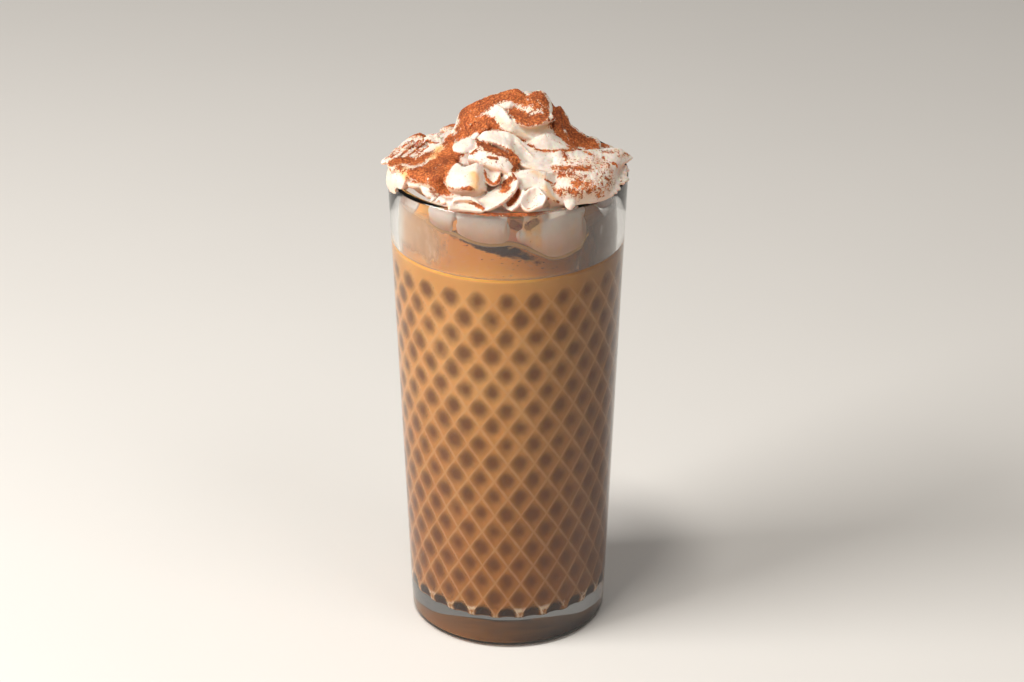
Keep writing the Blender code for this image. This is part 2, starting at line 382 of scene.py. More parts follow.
coffeeLook = {
    "level": 131.7,
    "reach": 0.05,  # into the wall and the floor, so that no air shows
    "meniscus": 0.7,
    "meniscusFall": 0.8,
    "meniscusWidth": 3.2,
    "meniscusSteps": 8,
    "surfaceRings": 26,
    # the body, seen through the wall
    "light": (0.94, 0.50, 0.16),
    "mid": (0.76, 0.33, 0.06),
    "midShare": 0.7,
    "deep": (0.52, 0.175, 0.025),
    "deepBand": (20, 120),
    "deepShare": 0.85,
    # painted shade towards the right side
    "shaded": (0.19, 0.055, 0.008),
    "shadeBand": (-14, 34),
    "shadeShare": 0.82,
    "padsBand": (127, 129),
    # painted highlight along the grooves between the pads
    "grooveHighlight": (0.86, 0.53, 0.25),
    "grooveHighlightShare": 0.42,
    # painted shade in the blots behind the pads
    "dark": (0.16, 0.045, 0.004),
    "padShadeShare": 0.86,
    "padShadeWidth": 0.78,
    "padShadeHeight": 0.96,
    "padShadeShift": 0.06,
    # the surface
    "topBand": (131.2, 131.8),
    "surface": (0.98, 0.50, 0.10),
    "foam": (0.84, 0.58, 0.30),
    "foamShare": 0.35,
    # painted shade on the right side of the surface
    "surfaceShadeBand": (4, 24),
    "surfaceShadeShare": 0.8,
    # painted light: the surface glows at its left side
    "surfaceGlow": (0.27, 0.105, 0.012),
    "glowBand": (-12, 14),
    "wet": (0.045, 0.011, 0.002),
    "wetPowder": (-4.7, -8.0, 13.0, 5.0, 0.7),  # x, y, half-lengths along them, lean
    # the corner of the foot and the underside, with painted shade, painted glints and a painted
    # glow
    "footBand": (13, 15),
    "footShade": (0.035, 0.011, 0.003),
    "baseGlint": (0.95, 0.74, 0.52),
    "underBand": (10.0, 10.8),
    "underShadeBand": (-18, 12),
    "underLit": (0.55, 0.22, 0.05),
    "underShaded": (0.06, 0.02, 0.006),
    "darkPatchBand": (0.45, 0.70),  # share of 1,000 mm2, the square of the radius
    "glow": (0.13, 0.048, 0.009),
}


def coffeeFinish(net, place):
    look = coffeeLook
    x, y, z = net.parts(place)
    ragged = net.noise(place, 260.0, 4.0, 0.65)
    cloud = net.noise(place, 150.0, 4.0, 0.55) - 0.5
    first, second, row = padLattice(
        net, place, tumblerLook["padsAround"], tumblerLook["firstRow"] * mm,
        tumblerLook["rowStep"] * mm)
    across = (first + second) * look["padShadeWidth"] + look["padShadeShift"]
    along = (first - second) * look["padShadeHeight"] + look["padShadeShift"]
    away = net.math("SQRT", across * across + along * along)
    # milky brew, painted shade in a blot behind each pad and painted highlights along the grooves
    drift = net.smooth(net.noise(place, 28.0, 3.0), 0.35, 0.7)
    size = net.noise(place, 45.0, 1.0) * 0.25
    # painted shade: a soft dark blot over each pad, set off to one side
    blot = 1.0 - net.smooth(away + cloud * 0.6 + size, 0.2, 0.86)
    onRows = (row > -0.5) * (row < tumblerLook["padRows"] - 0.5)
    onRows = onRows * (1.0 - net.over(z, look["padsBand"]))
    body = net.mix(drift * look["midShare"], look["light"], look["mid"])
    body = net.mix((1.0 - net.over(z, look["deepBand"])) * look["deepShare"], body, look["deep"])
    # painted shade: darker towards the right and lower down
    shaded = net.over(x - z * 0.08 + cloud * 0.01, look["shadeBand"])
    body = net.mix(shaded * look["shadeShare"], body, look["shaded"])
    # painted highlight along the grooves, weaker where the painted shade lies
    edge = net.most(abs(first), abs(second)) * 2.0
    grooveLight = net.smooth(edge + cloud * 0.2, 0.8, 1.0)
    grooveLight = grooveLight * onRows * (look["grooveHighlightShare"] - shaded * 0.22)
    body = net.mix(grooveLight, body, look["grooveHighlight"])
    body = net.mix(blot * onRows * look["padShadeShare"], body, look["dark"])
    # the surface: bubbles, painted shade on its right side, and wet cocoa with specks round it
    bubbles = net.smooth(net.noise(place, 420.0, 3.0, 0.6), 0.5, 0.7)
    surface = net.mix(bubbles * look["foamShare"], look["surface"], look["foam"])
    surface = net.mix(net.over(x, look["surfaceShadeBand"]) * look["surfaceShadeShare"], surface, look["deep"])
    middleX, middleY, wide, deep, lean = look["wetPowder"]
    across = (x - middleX * mm) / (wide * mm)
    along = (y - middleY * mm + (x - middleX * mm) * lean) / (deep * mm)
    wet = 1.0 - net.smooth(across * across + along * along + (ragged - 0.5) * 3.2, 0.5, 1.35)
    halo = 1.0 - net.smooth(across * across * 0.5 + along * along * 0.35, 0.2, 2.2)
    speck = net.smooth(net.noise(place, 620.0, 2.0, 0.5) + halo * 0.06, 0.70, 0.74)
    powder = net.most(wet, speck * 0.8)
    surface = net.mix(powder, surface, look["wet"])
    # the foot: painted shade in lozenges with painted glints on their rims at the corner, and the
    # underside: painted light at the left, painted shade at the right, darker patches further out,
    # and a painted glow at the left
    away = away + (ragged - 0.5) * 0.5
    foot = 1.0 - net.over(z, look["footBand"])
    rim = net.smooth(away, 0.55, 0.7) * (1.0 - net.smooth(away, 0.75, 0.9))
    body = net.mix(foot * (1.0 - net.smooth(away, 0.45, 0.62)) * 0.9, body, look["footShade"])
    body = net.mix(foot * rim * net.smooth(ragged, 0.42, 0.56), body, look["baseGlint"])
    under = 1.0 - net.over(z, look["underBand"])
    darkPatches = net.smooth(net.noise(place, 130.0), 0.52, 0.6)
    darkPatches = darkPatches * net.over(x * x + y * y, look["darkPatchBand"])
    underShade = net.most(net.over(x + (ragged - 0.5) * 0.02, look["underShadeBand"]), darkPatches)
    body = net.mix(under, body, net.mix(underShade, look["underLit"], look["underShaded"]))
    top = net.over(z, look["topBand"])
    # painted light: the underside glows orange at the left
    glow = net.mix(under * (1.0 - underShade), (0.0, 0.0, 0.0), look["glow"])
    # painted light: emission on the surface's left side, except under the wet cocoa
    lit = top * (1.0 - powder) * (1.0 - net.over(x, look["glowBand"]))
    return {
        "Base Color": net.mix(top, body, surface),
        "Roughness": 0.5 - top * 0.25,
        "Emission Color": net.mix(lit, glow, look["surfaceGlow"]),
    }


def buildCoffee(tree):
    look, glass = coffeeLook, tumblerLook
    reach, floor, corner = look["reach"], glass["floor"], glass["floorRounding"]
    level, climb, width = look["level"], look["meniscus"], look["meniscusWidth"]
    steps, rings = look["meniscusSteps"], look["surfaceRings"]
    base = innerRadius(floor + corner)
    edge = innerRadius(level + climb) + reach
    profile = [(base * share, floor - reach, 0) for share in (0, 0.2, 0.5, 0.75)]
    profile += arcPoints(
        (base - corner, floor + corner), corner + reach, -90, 0, glass["steps"]["corner"], 1)[:-1]
    profile += [(innerRadius(z) + reach, z, 1) for z in padHeights()]
    for step in range(steps + 1):
        fall = step / steps * width
        profile.append((edge - fall, level + climb * math.exp(-fall / look["meniscusFall"]), 0))
    profile += [((edge - width) * (1 - ring / rings), level, 0) for ring in range(1, rings + 1)]
    drink = lathe("milkyCoffee", profile, glass["columns"])
    addPads(drink, tree, newMaterial("milkyCoffee", coffeeFinish, **{
        "Subsurface Weight": 0.15, "Subsurface Scale": 0.002, "Specular IOR Level": 0.08,
        "Emission Strength": 1.0}))
    return drink


# Folds of cream: start, bend and end of the spine (x, y, height over the rim), then half-width,
# rise above the spine and depth below it; where they go on, roll in degrees, ribs, their depth and
# how blunt the ends are
heapFolds = {
    "core": ((-31, 3, -5), (0, 3, 7), (31, 3, -5), 27, 11, 12),
    "stem": ((-18, 8, -14), (4, 6, -14), (26, 4, -14), 24, 12, 12),
    "ridgeFill": ((-16, 4, 4), (-4, 4, 16), (8, 3, 14), 7, 4, 8),
    "curlFill": ((6, 5, 12), (9, 0, 18), (9, -4, 12), 5, 4, 8),
    "neckFill": ((-6, -4, 10), (2, -9, 14), (12, -8, 9), 5.5, 3, 8),
    "whiteRoll": ((-16.5, 3, 6), (-18.6, 0, 11.5), (-17, -6, 7.5), 2, 1.4, 5),
    "knob": ((25, 6, 5), (26.4, 3, 8.6), (27, 0, 4), 2.8, 2.2, 4),
    "shoulderFill": ((12, 8, 8), (16, 6, 13), (26, 4, 3), 5, 3, 8),
    "creaseFill": ((-10, -13, 12), (-3, -16, 11.6), (2.4, -21, 7), 3, 1, 5),
    "ribbonFill": ((-12, -11, 9), (2, -14, 12), (20, -14, 6), 7, 3, 8),
    "valleyFill": ((-20, -8, 6), (-14, -12, 8), (-6, -14, 9), 5, 2.4, 6),
}
rimFolds = {
    "leftTip": ((-31, 0, 3.5), (-36.6, -2, 4.9), (-39.3, -4, 2.9), 1.7, 1, 1.5),
    "leftFill": ((-24, 8, 1), (-26, -6, 4), (-22, -20, 1), 9, 2, 6),
    "rightFill": ((22, 1, 3), (22, -14, 5), (20, -28, 1), 10, 2, 6),
    "rightWall": ((30, 0, 2), (35, -5, 2.4), (34, -10, 1), 3, 2, 4, 0, 3),
    "rightSpike": ((32, -4, 2), (35, -5.5, 2.4), (37.8, -6.4, 1.6), 1.2, 0.8, 1.6),
    "rightBarb": ((32, -8, 1), (35, -9.5, 1), (37.6, -10.4, 0.2), 1.1, 0.7, 1.4),
    "frontBase": ((-14, -22, 0), (1, -30, 2), (15, -25, 0), 6, 2, 4),
    "frontFill": ((-10, -16, 4), (2, -22, 5), (14, -20, 3), 6, 2, 6),
    "drip": ((18.2, -28, 1), (18.8, -33.6, 2.1), (19.3, -33.5, 0.2), 1.7, 0.8, 1.1, 0, 0, 0, 3),
    "flapFill": ((24, -6, 0), (28, -11, -1), (29.5, -14, -8), 5, 2.4, 5),
}
# Folds at the back, in rows: how many, first and last angle, then radius and height of the spine's
# start, bend and end, and half-width, rise and depth
farRows = (
    (3, 60, 140, (2, 21), (13, 19), (23, 6), 8, 3, 8),
    (5, 25, 148, (14, 9), (26, 7), (37, -1.5), 9, 2.4, 6),
)
# Crumbs: size and how many, then the line that they lie along (x, y, height over the rim)
fringes = (
    (1.5, 13, (-35, -10, 1.6), (-31, -14.6, 1.3), (-27.5, -18.6, 1.0), (-23.8, -24, 0.8)),
    (1.3, 9, (-24.5, -23, 1.2), (-21, -28, 0.6), (-17.5, -31.6, 0.5)),
    (1.2, 9, (-35.5, -3, 4.4), (-31, -0.5, 7.2), (-27, 1.5, 8)),
    (1.1, 12, (36.5, -6.5, 2.6), (36, -12, 1.4), (34, -18, 0.8), (30, -24, 0.6)),
    (1.2, 8, (25, 5, 5.6), (28.5, 1.5, 4.6), (31.5, 0, 4)),
    (1.0, 7, (-3, -22.5, 4.6), (1.5, -23.4, 5), (6, -25, 4)),
)
# Sheets of cream: thickness within and at the edges, ribs and their depth, then rows of points from
# the far edge to the near one (x, y and height over the rim, again and again)
heapSheets = {
    "hill": (6, 0.8, 4, 0.25,
        (-20.2, 2, 8.4, -17, 3, 12.4, -14.5, 4, 17.8, -10.5, 4, 20.3, -5.8, 4, 22.6, -1.5, 4, 24.1,
         2.5, 4, 25.1, 4.4, 4, 24.1, 5.9, 3, 22.5),
        (-19.1, -3, 8.5, -15.1, -2, 13, -12.3, -1, 17.6, -8.3, 0, 19.9, -4.3, 0, 22.2, -0.6, 0,
         23.5, 2.5, 0, 23.8, 4.4, 0, 23.5, 6.2, 0, 22.2),
        (-17.8, -9, 8.9, -13.5, -8, 12.5, -10.1, -6.5, 16.2, -7, -6, 18.6, -4.2, -5, 20.8, -1.5,
         -3.5, 22.6, 1.3, -3, 23, 3.1, -3, 22.7, 5, -3, 22.4),
        (-15.9, -14, 8.6, -12.8, -13, 12.2, -9.1, -11, 15.3, -6.1, -9.5, 16.7, -3.6, -8.5, 18.6,
         -1.5, -6, 21.6, 0.7, -5, 21.8, 2.8, -4, 21.4, 5, -3.5, 21.2),
        (-14.1, -10, 5.6, -11, -9, 8.9, -8.2, -8, 11.8, -5.5, -7, 13.4, -3.3, -6, 15, -1.5, -4,
         17.5, 0.7, -3, 18.4, 2.8, -2, 18.3, 5, -2, 18.7)),
    "neck": (5, 0.7, 0, 0,
        (-3.6, -3.5, 22.9, -1.5, -6.5, 22.4, -0.2, -8.2, 21.4, 1, -9.5, 20, 3.4, -9.6, 18.4, 7.4,
         -9.6, 17.7, 11.4, -8, 18.7, 13.6, -6, 20.6),
        (-4.8, -5.5, 20.7, -2.7, -8.4, 20.2, -0.8, -10, 19.2, 1.3, -10.8, 18.2, 4.1, -10.4, 16.7,
         7.7, -9.4, 15.7, 11.4, -7.5, 15.9, 13.6, -6, 17.6),
        (-6.1, -8.5, 18.6, -3.6, -10.4, 17.7, -1.1, -11.6, 17.2, 1.3, -12.2, 16.5, 4.1, -12, 14.7,
         7.7, -10.8, 13.9, 11.4, -9.4, 14.3, 14.2, -7, 15),
        (-5.5, -8, 14.8, -3, -9, 13.9, -0.8, -10, 13.3, 1.6, -10.4, 12.4, 4.4, -10.4, 11.4, 7.8,
         -9.4, 10.7, 11.5, -8, 11.1, 13.9, -6, 11.7)),
    "curl": (2.4, 0.7, 0, 0,
        (5.9, 3, 22.5, 7.2, 3, 23.8, 8.6, 3, 24.7, 10, 3, 24.9, 11.5, 2.5, 24.4, 12.7, 1.5, 23.1,
         13.8, 0, 21.2),
        (2.8, -1.5, 22.4, 5, -1.5, 22.8, 7.1, -1.8, 23.2, 9.3, -2, 23.3, 11.5, -2.2, 22.7, 12.8,
         -2.8, 21.3, 13.9, -3, 20.4),
        (0.4, -5, 21.8, 2.8, -4.6, 21.3, 5.3, -5.4, 21.3, 8.1, -6.2, 21.6, 10.5, -6.4, 21.4, 12.4,
         -6.2, 20.7, 13.6, -5, 19.5),
        (1, -8, 20.4, 2.5, -9.8, 19.3, 4.7, -10.9, 18.6, 7.4, -11.6, 18.4, 10.2, -11.2, 19.2, 12.2,
         -9.6, 20.2, 13.4, -6.8, 20.6)),
    "collar": (5, 0.8, 0, 0,
        (7.4, -10, 12.9, 9.9, -9.5, 14.9, 11.7, -9, 15.5, 13.9, -8, 14.6, 16.7, -6, 12.3, 20.5, -4,
         10.5),
        (5.6, -13.2, 13.2, 8, -13.6, 13.7, 10.8, -13.2, 14.1, 13.5, -12.5, 13.6, 16.6, -11, 12.4,
         20.7, -8, 10.5),
        (6.5, -14.8, 12.7, 8.6, -15, 12.2, 11.4, -15, 11.7, 13.8, -14.6, 11.5, 16.9, -13.6, 11.3,
         21.6, -11, 10.2)),
    "ribbon": (5, 0.7, 6, 0.12,
        (-9.4, -12, 14.7, -7.9, -12.6, 16.9, -5.4, -13, 17.9, -2.7, -13.2, 17.8, 0.1, -13.6, 17.5,
         2.8, -14.2, 16.3, 5, -15.2, 14.7, 7.1, -15.8, 13.3, 9.8, -15.8, 12.5, 12.9, -15.2, 12.1,
         16.6, -14.4, 11.7, 20.7, -9, 8.6),
        (-8.8, -14, 14.9, -6.9, -15, 16.6, -4.5, -15.4, 16.8, -1.7, -15.8, 16.3, 0.7, -16.2, 15.1,
         2.8, -16.8, 13.4, 5, -17.4, 11.7, 7.4, -17.6, 10.4, 10.2, -17.4, 9.7, 13.2, -17.2, 9.3,
         16.9, -17.4, 9.4, 20.9, -13, 6.6),
        (-8.2, -15.5, 14.5, -6, -17, 15.4, -3.3, -18, 15.2, -0.8, -19, 14.3, 1.3, -20, 13, 3.1, -21,
         11.2, 4.9, -22, 9.6, 7.7, -22.6, 8.9, 10.4, -22.8, 8.6, 13.5, -22.8, 8, 17.1, -22.8, 7.3,
         20.8, -20, 4.8),
        (-7.3, -13.5, 11.4, -5.4, -14.5, 12.1, -2.7, -15, 11.7, -0.2, -16, 10.4, 1.9, -17, 8.9, 3.7,
         -18, 6.6, 5.6, -19, 5.1, 8, -20, 4.8, 10.8, -20, 4.8, 13.8, -20, 4.2, 17.5, -19, 3.1, 21.2,
         -17, 1.6)),
    "shoulder": (6, 0.9, 5, 0.4,
        (13.5, 9, 15, 14.7, 10, 16.5, 16.3, 10, 17, 17.5, 9.5, 15.8, 18.8, 8.5, 13.9, 20, 7, 10.8),
        (13.4, 5, 14.3, 14.7, 6, 15.9, 16.2, 6, 15.9, 17.5, 6, 14.5, 18.7, 5.5, 12.4, 20.3, 4, 10),
        (13.4, 1, 12.8, 14.6, 1.5, 14, 16.2, 1.5, 13.3, 17.8, 1.5, 12, 19.3, 1, 10.2, 20.9, 0.5, 9),
        (13.3, -5, 13.2, 14.9, -4, 12.8, 16.4, -4, 11.8, 18.3, -4, 10.5, 20.2, -4, 8.9, 21.4, -4,
         8.2)),
    "haunch": (6, 0.9, 6, 0.4,
        (19.4, 6, 10.2, 21.3, 6.5, 10, 23.2, 6.5, 9.3, 24.7, 6, 8.2, 26.3, 5, 6.9, 27.8, 4, 6.3),
        (19.9, 1.5, 9.3, 21.8, 2, 9.4, 23.7, 2, 8.4, 25.2, 1.5, 7.6, 26.8, 1, 6.8, 28.3, 0, 6.6),
        (20.4, -6, 8.7, 22.3, -5.5, 8.5, 24.2, -5, 8.3, 25.7, -5, 7.9, 27.3, -5, 7.9, 28.8, -5,
         7.6)),
}
leftSheets = {
    "leftTongue": (4.5, 0.8, 14, 0.22,
        (-38, -2, 3.9, -36.3, 0, 5.4, -34.2, 3, 6.4, -32.1, 6, 7, -30, 8, 7.6, -27.8, 9, 8.2, -25.9,
         9, 7.6),
        (-37.5, -7, 4.4, -35.2, -6, 5.7, -32.8, -3.4, 6.3, -30.7, -0.4, 6.6, -28.6, 2.6, 6.7, -26.5,
         4.6, 6.9, -24.3, 5.6, 6.7),
        (-36.6, -11, 3.7, -34.1, -12, 4.8, -31.6, -11.4, 5.2, -29.2, -9.4, 5.4, -26.8, -6.6, 5.6,
         -24.4, -4.4, 6, -22, -2.4, 6.5),
        (-35.5, -9, 0.6, -32.9, -10, 1.7, -30.8, -9, 2.2, -28.4, -7, 2.4, -26, -4, 2.5, -23.5, -2,
         3, -21.1, 0, 3.6)),
    "leftHump": (5, 0.8, 4, 0.4,
        (-26.5, 6, 7.5, -24.3, 7, 8.3, -22.4, 7, 8.8, -21.3, 6, 8.2, -19.9, 4, 7.3),
        (-25.5, 2.6, 7.5, -23.6, 2.6, 8, -22, 2.6, 8, -20.8, 2, 7.8, -19.2, 1, 7.2),
        (-24.1, -2, 7.7, -22.6, -2.4, 8.2, -21, -2.6, 8.3, -19.8, -3, 7.8, -18.2, -4, 7.5)),
    "leftSlope": (5, 0.8, 6, 0.16,
        (-35.8, -6.4, 5.2, -32.4, -5.6, 5.3, -28.7, -3.6, 6, -25.4, -1.6, 7.2, -22.3, -0.6, 8.3,
         -19.2, -1.4, 9.5, -16, -4, 10.5),
        (-35.3, -10.6, 4.9, -31.3, -11.6, 5.5, -27.6, -11, 6.2, -23.9, -9.4, 7.4, -20.6, -8.6, 8.7,
         -17.5, -9.6, 9.8, -14.4, -9, 9.2),
        (-33.8, -12.6, 3.7, -29.9, -16.8, 5.1, -26.2, -17.8, 6.2, -22.9, -16.4, 7.3, -19.5, -15.4,
         8.5, -16.5, -15, 9, -13.4, -13.5, 7.7),
        (-31.9, -13.4, 2.4, -28.4, -18.4, 3.5, -24.9, -22.6, 5.2, -21.5, -24, 6.8, -18.8, -23, 7.4,
         -16.1, -21, 8.2, -13.1, -18, 6),
        (-31.9, -13.1, 0.6, -29.4, -15, 0.4, -26.9, -19.2, 0.2, -23.7, -22.4, 0.2, -20.6, -24.3,
         0.2, -17.5, -26.5, 0.8, -14.2, -28.6, 1.5)),
    "leftBulge": (3, 1.2, 0, 0,
        (-37.2, -4, 2.2, -35.1, -7.4, 4.4, -32.5, -12, 5.1),
        (-37.8, -5.5, -0.6, -35.2, -11, 2.4, -31.5, -15.5, 4.3),
        (-37.7, -7, -2.9, -35, -13.6, 0.8, -31.6, -17.5, 2.8),
        (-36.5, -11, -3.6, -34.7, -14.8, -2.7, -32.6, -17.6, 0.3)),
}
rightSheets = {
    "tongue": (4.5, 0.9, 16, 0.15,
        (13, -10.5, 9.5, 16.6, -13.6, 11.3, 20.6, -11, 10.4, 25.4, -7, 9.1, 29.1, -4, 8.1, 32.3, -2,
         7.8, 35.4, -2, 7.1, 39.1, -4, 5.2),
        (12.6, -14.5, 6.8, 16.3, -18, 8.9, 20.5, -17.6, 9.4, 25.2, -15.4, 8.9, 28.9, -12.6, 8, 32.1,
         -10.4, 7.5, 34.6, -9, 6.6, 37.1, -7, 4.7),
        (12, -20, 4.8, 15.6, -24, 6.8, 19.5, -24, 7.5, 23.8, -22.6, 7.5, 27.5, -20.4, 7, 30.6, -18,
         6.3, 32.9, -15, 5.1, 34.9, -9.1, 2.6),
        (11.6, -26, 3, 14.9, -29.4, 4.8, 18.8, -29.8, 5.3, 23.1, -29.4, 5.5, 26.7, -27.8, 5.1, 29.9,
         -24.6, 4.1, 32.5, -19.6, 2.7, 34.7, -12.4, 1),
        (12.8, -31.6, 1.1, 16.1, -31, 0.4, 19.5, -31.2, 0.3, 23.1, -29.8, 0.2, 26.5, -28.4, 0, 29.3,
         -26.4, 0, 31.8, -23.1, 0, 34.3, -17.3, 0.2)),
}
frontSheets = {
    "crest": (4, 0.8, 0, 0,
        (-9.4, -15.4, 15.4, -6.9, -16.6, 14.9, -4.5, -17.8, 14.4, -2, -18.9, 13.9, 0.1, -19.9, 13,
         1.9, -20.9, 11.8, 3.3, -21.9, 10.2, 3.1, -22.6, 8.2),
        (-9.7, -18.2, 14.6, -7.2, -19.4, 14.1, -4.8, -20.6, 13.6, -2.6, -21.6, 13, -0.8, -22.4,
         12.1, 0.7, -23, 11, 1.8, -23.5, 9.6, 1.9, -23.8, 8),
        (-11.8, -19.6, 12.6, -8.7, -21.2, 12.5, -5.7, -22.4, 12.1, -3.2, -23.4, 11.5, -1.4, -24,
         10.7, 0.1, -24.4, 9.9, 1, -24.6, 9, 1.3, -24.8, 7.8),
        (-12.1, -20, 10.4, -8.7, -22, 10.6, -6, -23.2, 9.8, -3.3, -24.2, 9.2, -1.4, -24.6, 8.7,
         -0.2, -24.8, 8.1, 0.7, -24.8, 7.8, 1, -25, 6.9),
        (-11.8, -17, 6.9, -8.5, -18, 6.6, -6, -19, 6.1, -3.3, -20, 5.5, -1.4, -21, 5.2, -0.2, -21.4,
         4.7, 0.7, -22, 4.7, 1, -22.4, 4.2)),
    "button": (1.3, 0.5, 0, 0,
        (-16.1, -14.8, 14.4, -13.7, -14, 15.5, -11.5, -13.8, 15.8, -9.8, -14.6, 15.1),
        (-17.1, -16.8, 13.9, -14.2, -17.6, 14.7, -11.5, -17.4, 14.9, -9.4, -16.4, 14.5),
        (-16.8, -18.4, 13.2, -14.5, -19.6, 12.9, -12.4, -19.4, 12.8, -10.1, -17.8, 13.3)),
    "blob": (4, 0.7, 0, 0,
        (-17.3, -20, 8.8, -15.4, -21.4, 10.6, -13.3, -22.8, 9.8, -11.1, -23, 10.7, -9, -23, 11.2,
         -6.6, -21.6, 8.4),
        (-19.1, -22, 7.3, -16.9, -25, 8.5, -14.1, -26.6, 8.9, -11.4, -27.2, 9.5, -9, -26.6, 9.5,
         -6.1, -23.4, 6.6),
        (-19.5, -24, 5.8, -17.5, -27, 6.8, -14.4, -28.8, 7.2, -11.7, -29.4, 7.4, -9, -28.8, 7.5, -6,
         -25.4, 5.1),
        (-18.7, -26, 4.4, -16.9, -28.6, 4.5, -14.1, -30, 4.7, -11.4, -31, 5.2, -8.7, -30.4, 4.9, -6,
         -27, 3.8),
        (-17.6, -23, 1.5, -16.1, -24, 0.9, -13.9, -25.4, 0.8, -11.5, -26.4, 1.2, -9, -26.4, 1.2,
         -7.2, -26, 1.4)),
    "nook": (1.3, 0.5, 0, 0,
        (-7.2, -22.6, 9.2, -5.1, -22, 8.8, -2.7, -22.8, 8.6),
        (-7, -25.2, 8.3, -4.8, -24.2, 7.2, -2.3, -25.4, 8.1),
        (-6.3, -27.6, 7.2, -4.4, -28.6, 6.3, -2.5, -27.8, 7.4)),
    "fin": (1.4, 0.5, 0, 0,
        (-1.7, -23, 7.7, -2, -24.4, 6.3, -3, -25.4, 4.9, -4.8, -26.6, 4, -6.6, -28, 3.2, -8.4,
         -29.8, 2.4, -10.2, -32, 1.3),
        (0.4, -25, 8.7, 0.5, -26.6, 6.9, -0.1, -28.4, 5.4, -1.4, -30, 4.1, -3.2, -31.6, 3.1, -5.3,
         -33.4, 2.2, -7.7, -35.2, 1.4),
        (1.6, -26.6, 9.5, 2.8, -29.4, 8.4, 2.4, -31.6, 6.7, 0.7, -33.6, 5.1, -1.4, -35.2, 3.8, -3.8,
         -36.2, 2.6, -6.5, -36.8, 1.4)),
    "hollow": (1.3, 0.5, 0, 0,
        (1.3, -28.4, 5.7, 0.7, -30.4, 4.2, -0.5, -32.4, 3.1, -1.7, -34.4, 2),
        (3.1, -28, 4.9, 2.5, -29.6, 3.3, 1, -31.6, 1.8, -0.5, -34.4, 1),
        (4.8, -31.4, 5.7, 4.3, -33.6, 4.3, 3.1, -35.6, 2.7, 1, -36.8, 1.3)),
    "leaf": (1.3, 0.5, 0, 0,
        (4.9, -32.4, 4.9, 6.7, -31.8, 6.3, 8.8, -31.6, 6.7, 10.5, -32.6, 5.8),
        (4.3, -34, 3.8, 6.4, -32.4, 3.8, 8.8, -32.4, 4.1, 11.4, -34.4, 4.6),
        (4.3, -35.2, 2.5, 6.1, -34, 1.8, 8.2, -34, 2.5, 10.8, -35.6, 3.2),
        (5.2, -36.8, 1.4, 6.7, -36.9, 1.4, 8.5, -36.9, 2.3, 10, -36.2, 2.9)),
    "ledge": (4, 0.8, 0, 0,
        (1.9, -24, 8.8, 4, -24, 9.1, 6.5, -24, 9.4, 9.2, -24, 9.1, 12.2, -23.6, 8.3, 15.9, -20,
         5.1),
        (2.5, -27.8, 8.6, 4.6, -27.8, 8.9, 6.7, -27.8, 8.7, 9.2, -27.8, 8.2, 12.2, -27.4, 7.6, 15.9,
         -23, 4.1),
        (2.2, -28, 7.2, 4.9, -28.6, 7.4, 7.3, -29, 7.3, 9.8, -29.4, 6.8, 12.2, -29.8, 5.6, 15.9,
         -27, 2.5),
        (2.8, -29, 4.6, 5.2, -29.6, 4.9, 7.6, -29.8, 5, 10.1, -31, 4.5, 12.2, -32.6, 3.5, 15.8, -31,
         1.2),
        (3.1, -26.6, 1.7, 5.6, -27, 1.5, 8, -27.4, 1.7, 10.1, -29, 1.4, 12.5, -30.6, 0.4, 15.9, -28,
         -1.4)),
    "crescent": (1.5, 0.5, 0, 0,
        (-18.3, -33.6, 1.7, -15.9, -33.4, 3.1, -12.9, -33.8, 3.6, -10.1, -34.4, 3.5, -7.3, -35.6,
         2.2),
        (-18, -35.6, 1.9, -15.6, -33, 1.7, -12.6, -33.2, 2, -10.2, -34.2, 1.8, -7.1, -36.6, 1.3),
        (-17.4, -36.2, 1.6, -15, -35.4, 1.3, -12.3, -35.8, 1.1, -9.8, -36.4, 1.1, -7.1, -36.9,
         0.8)),
}
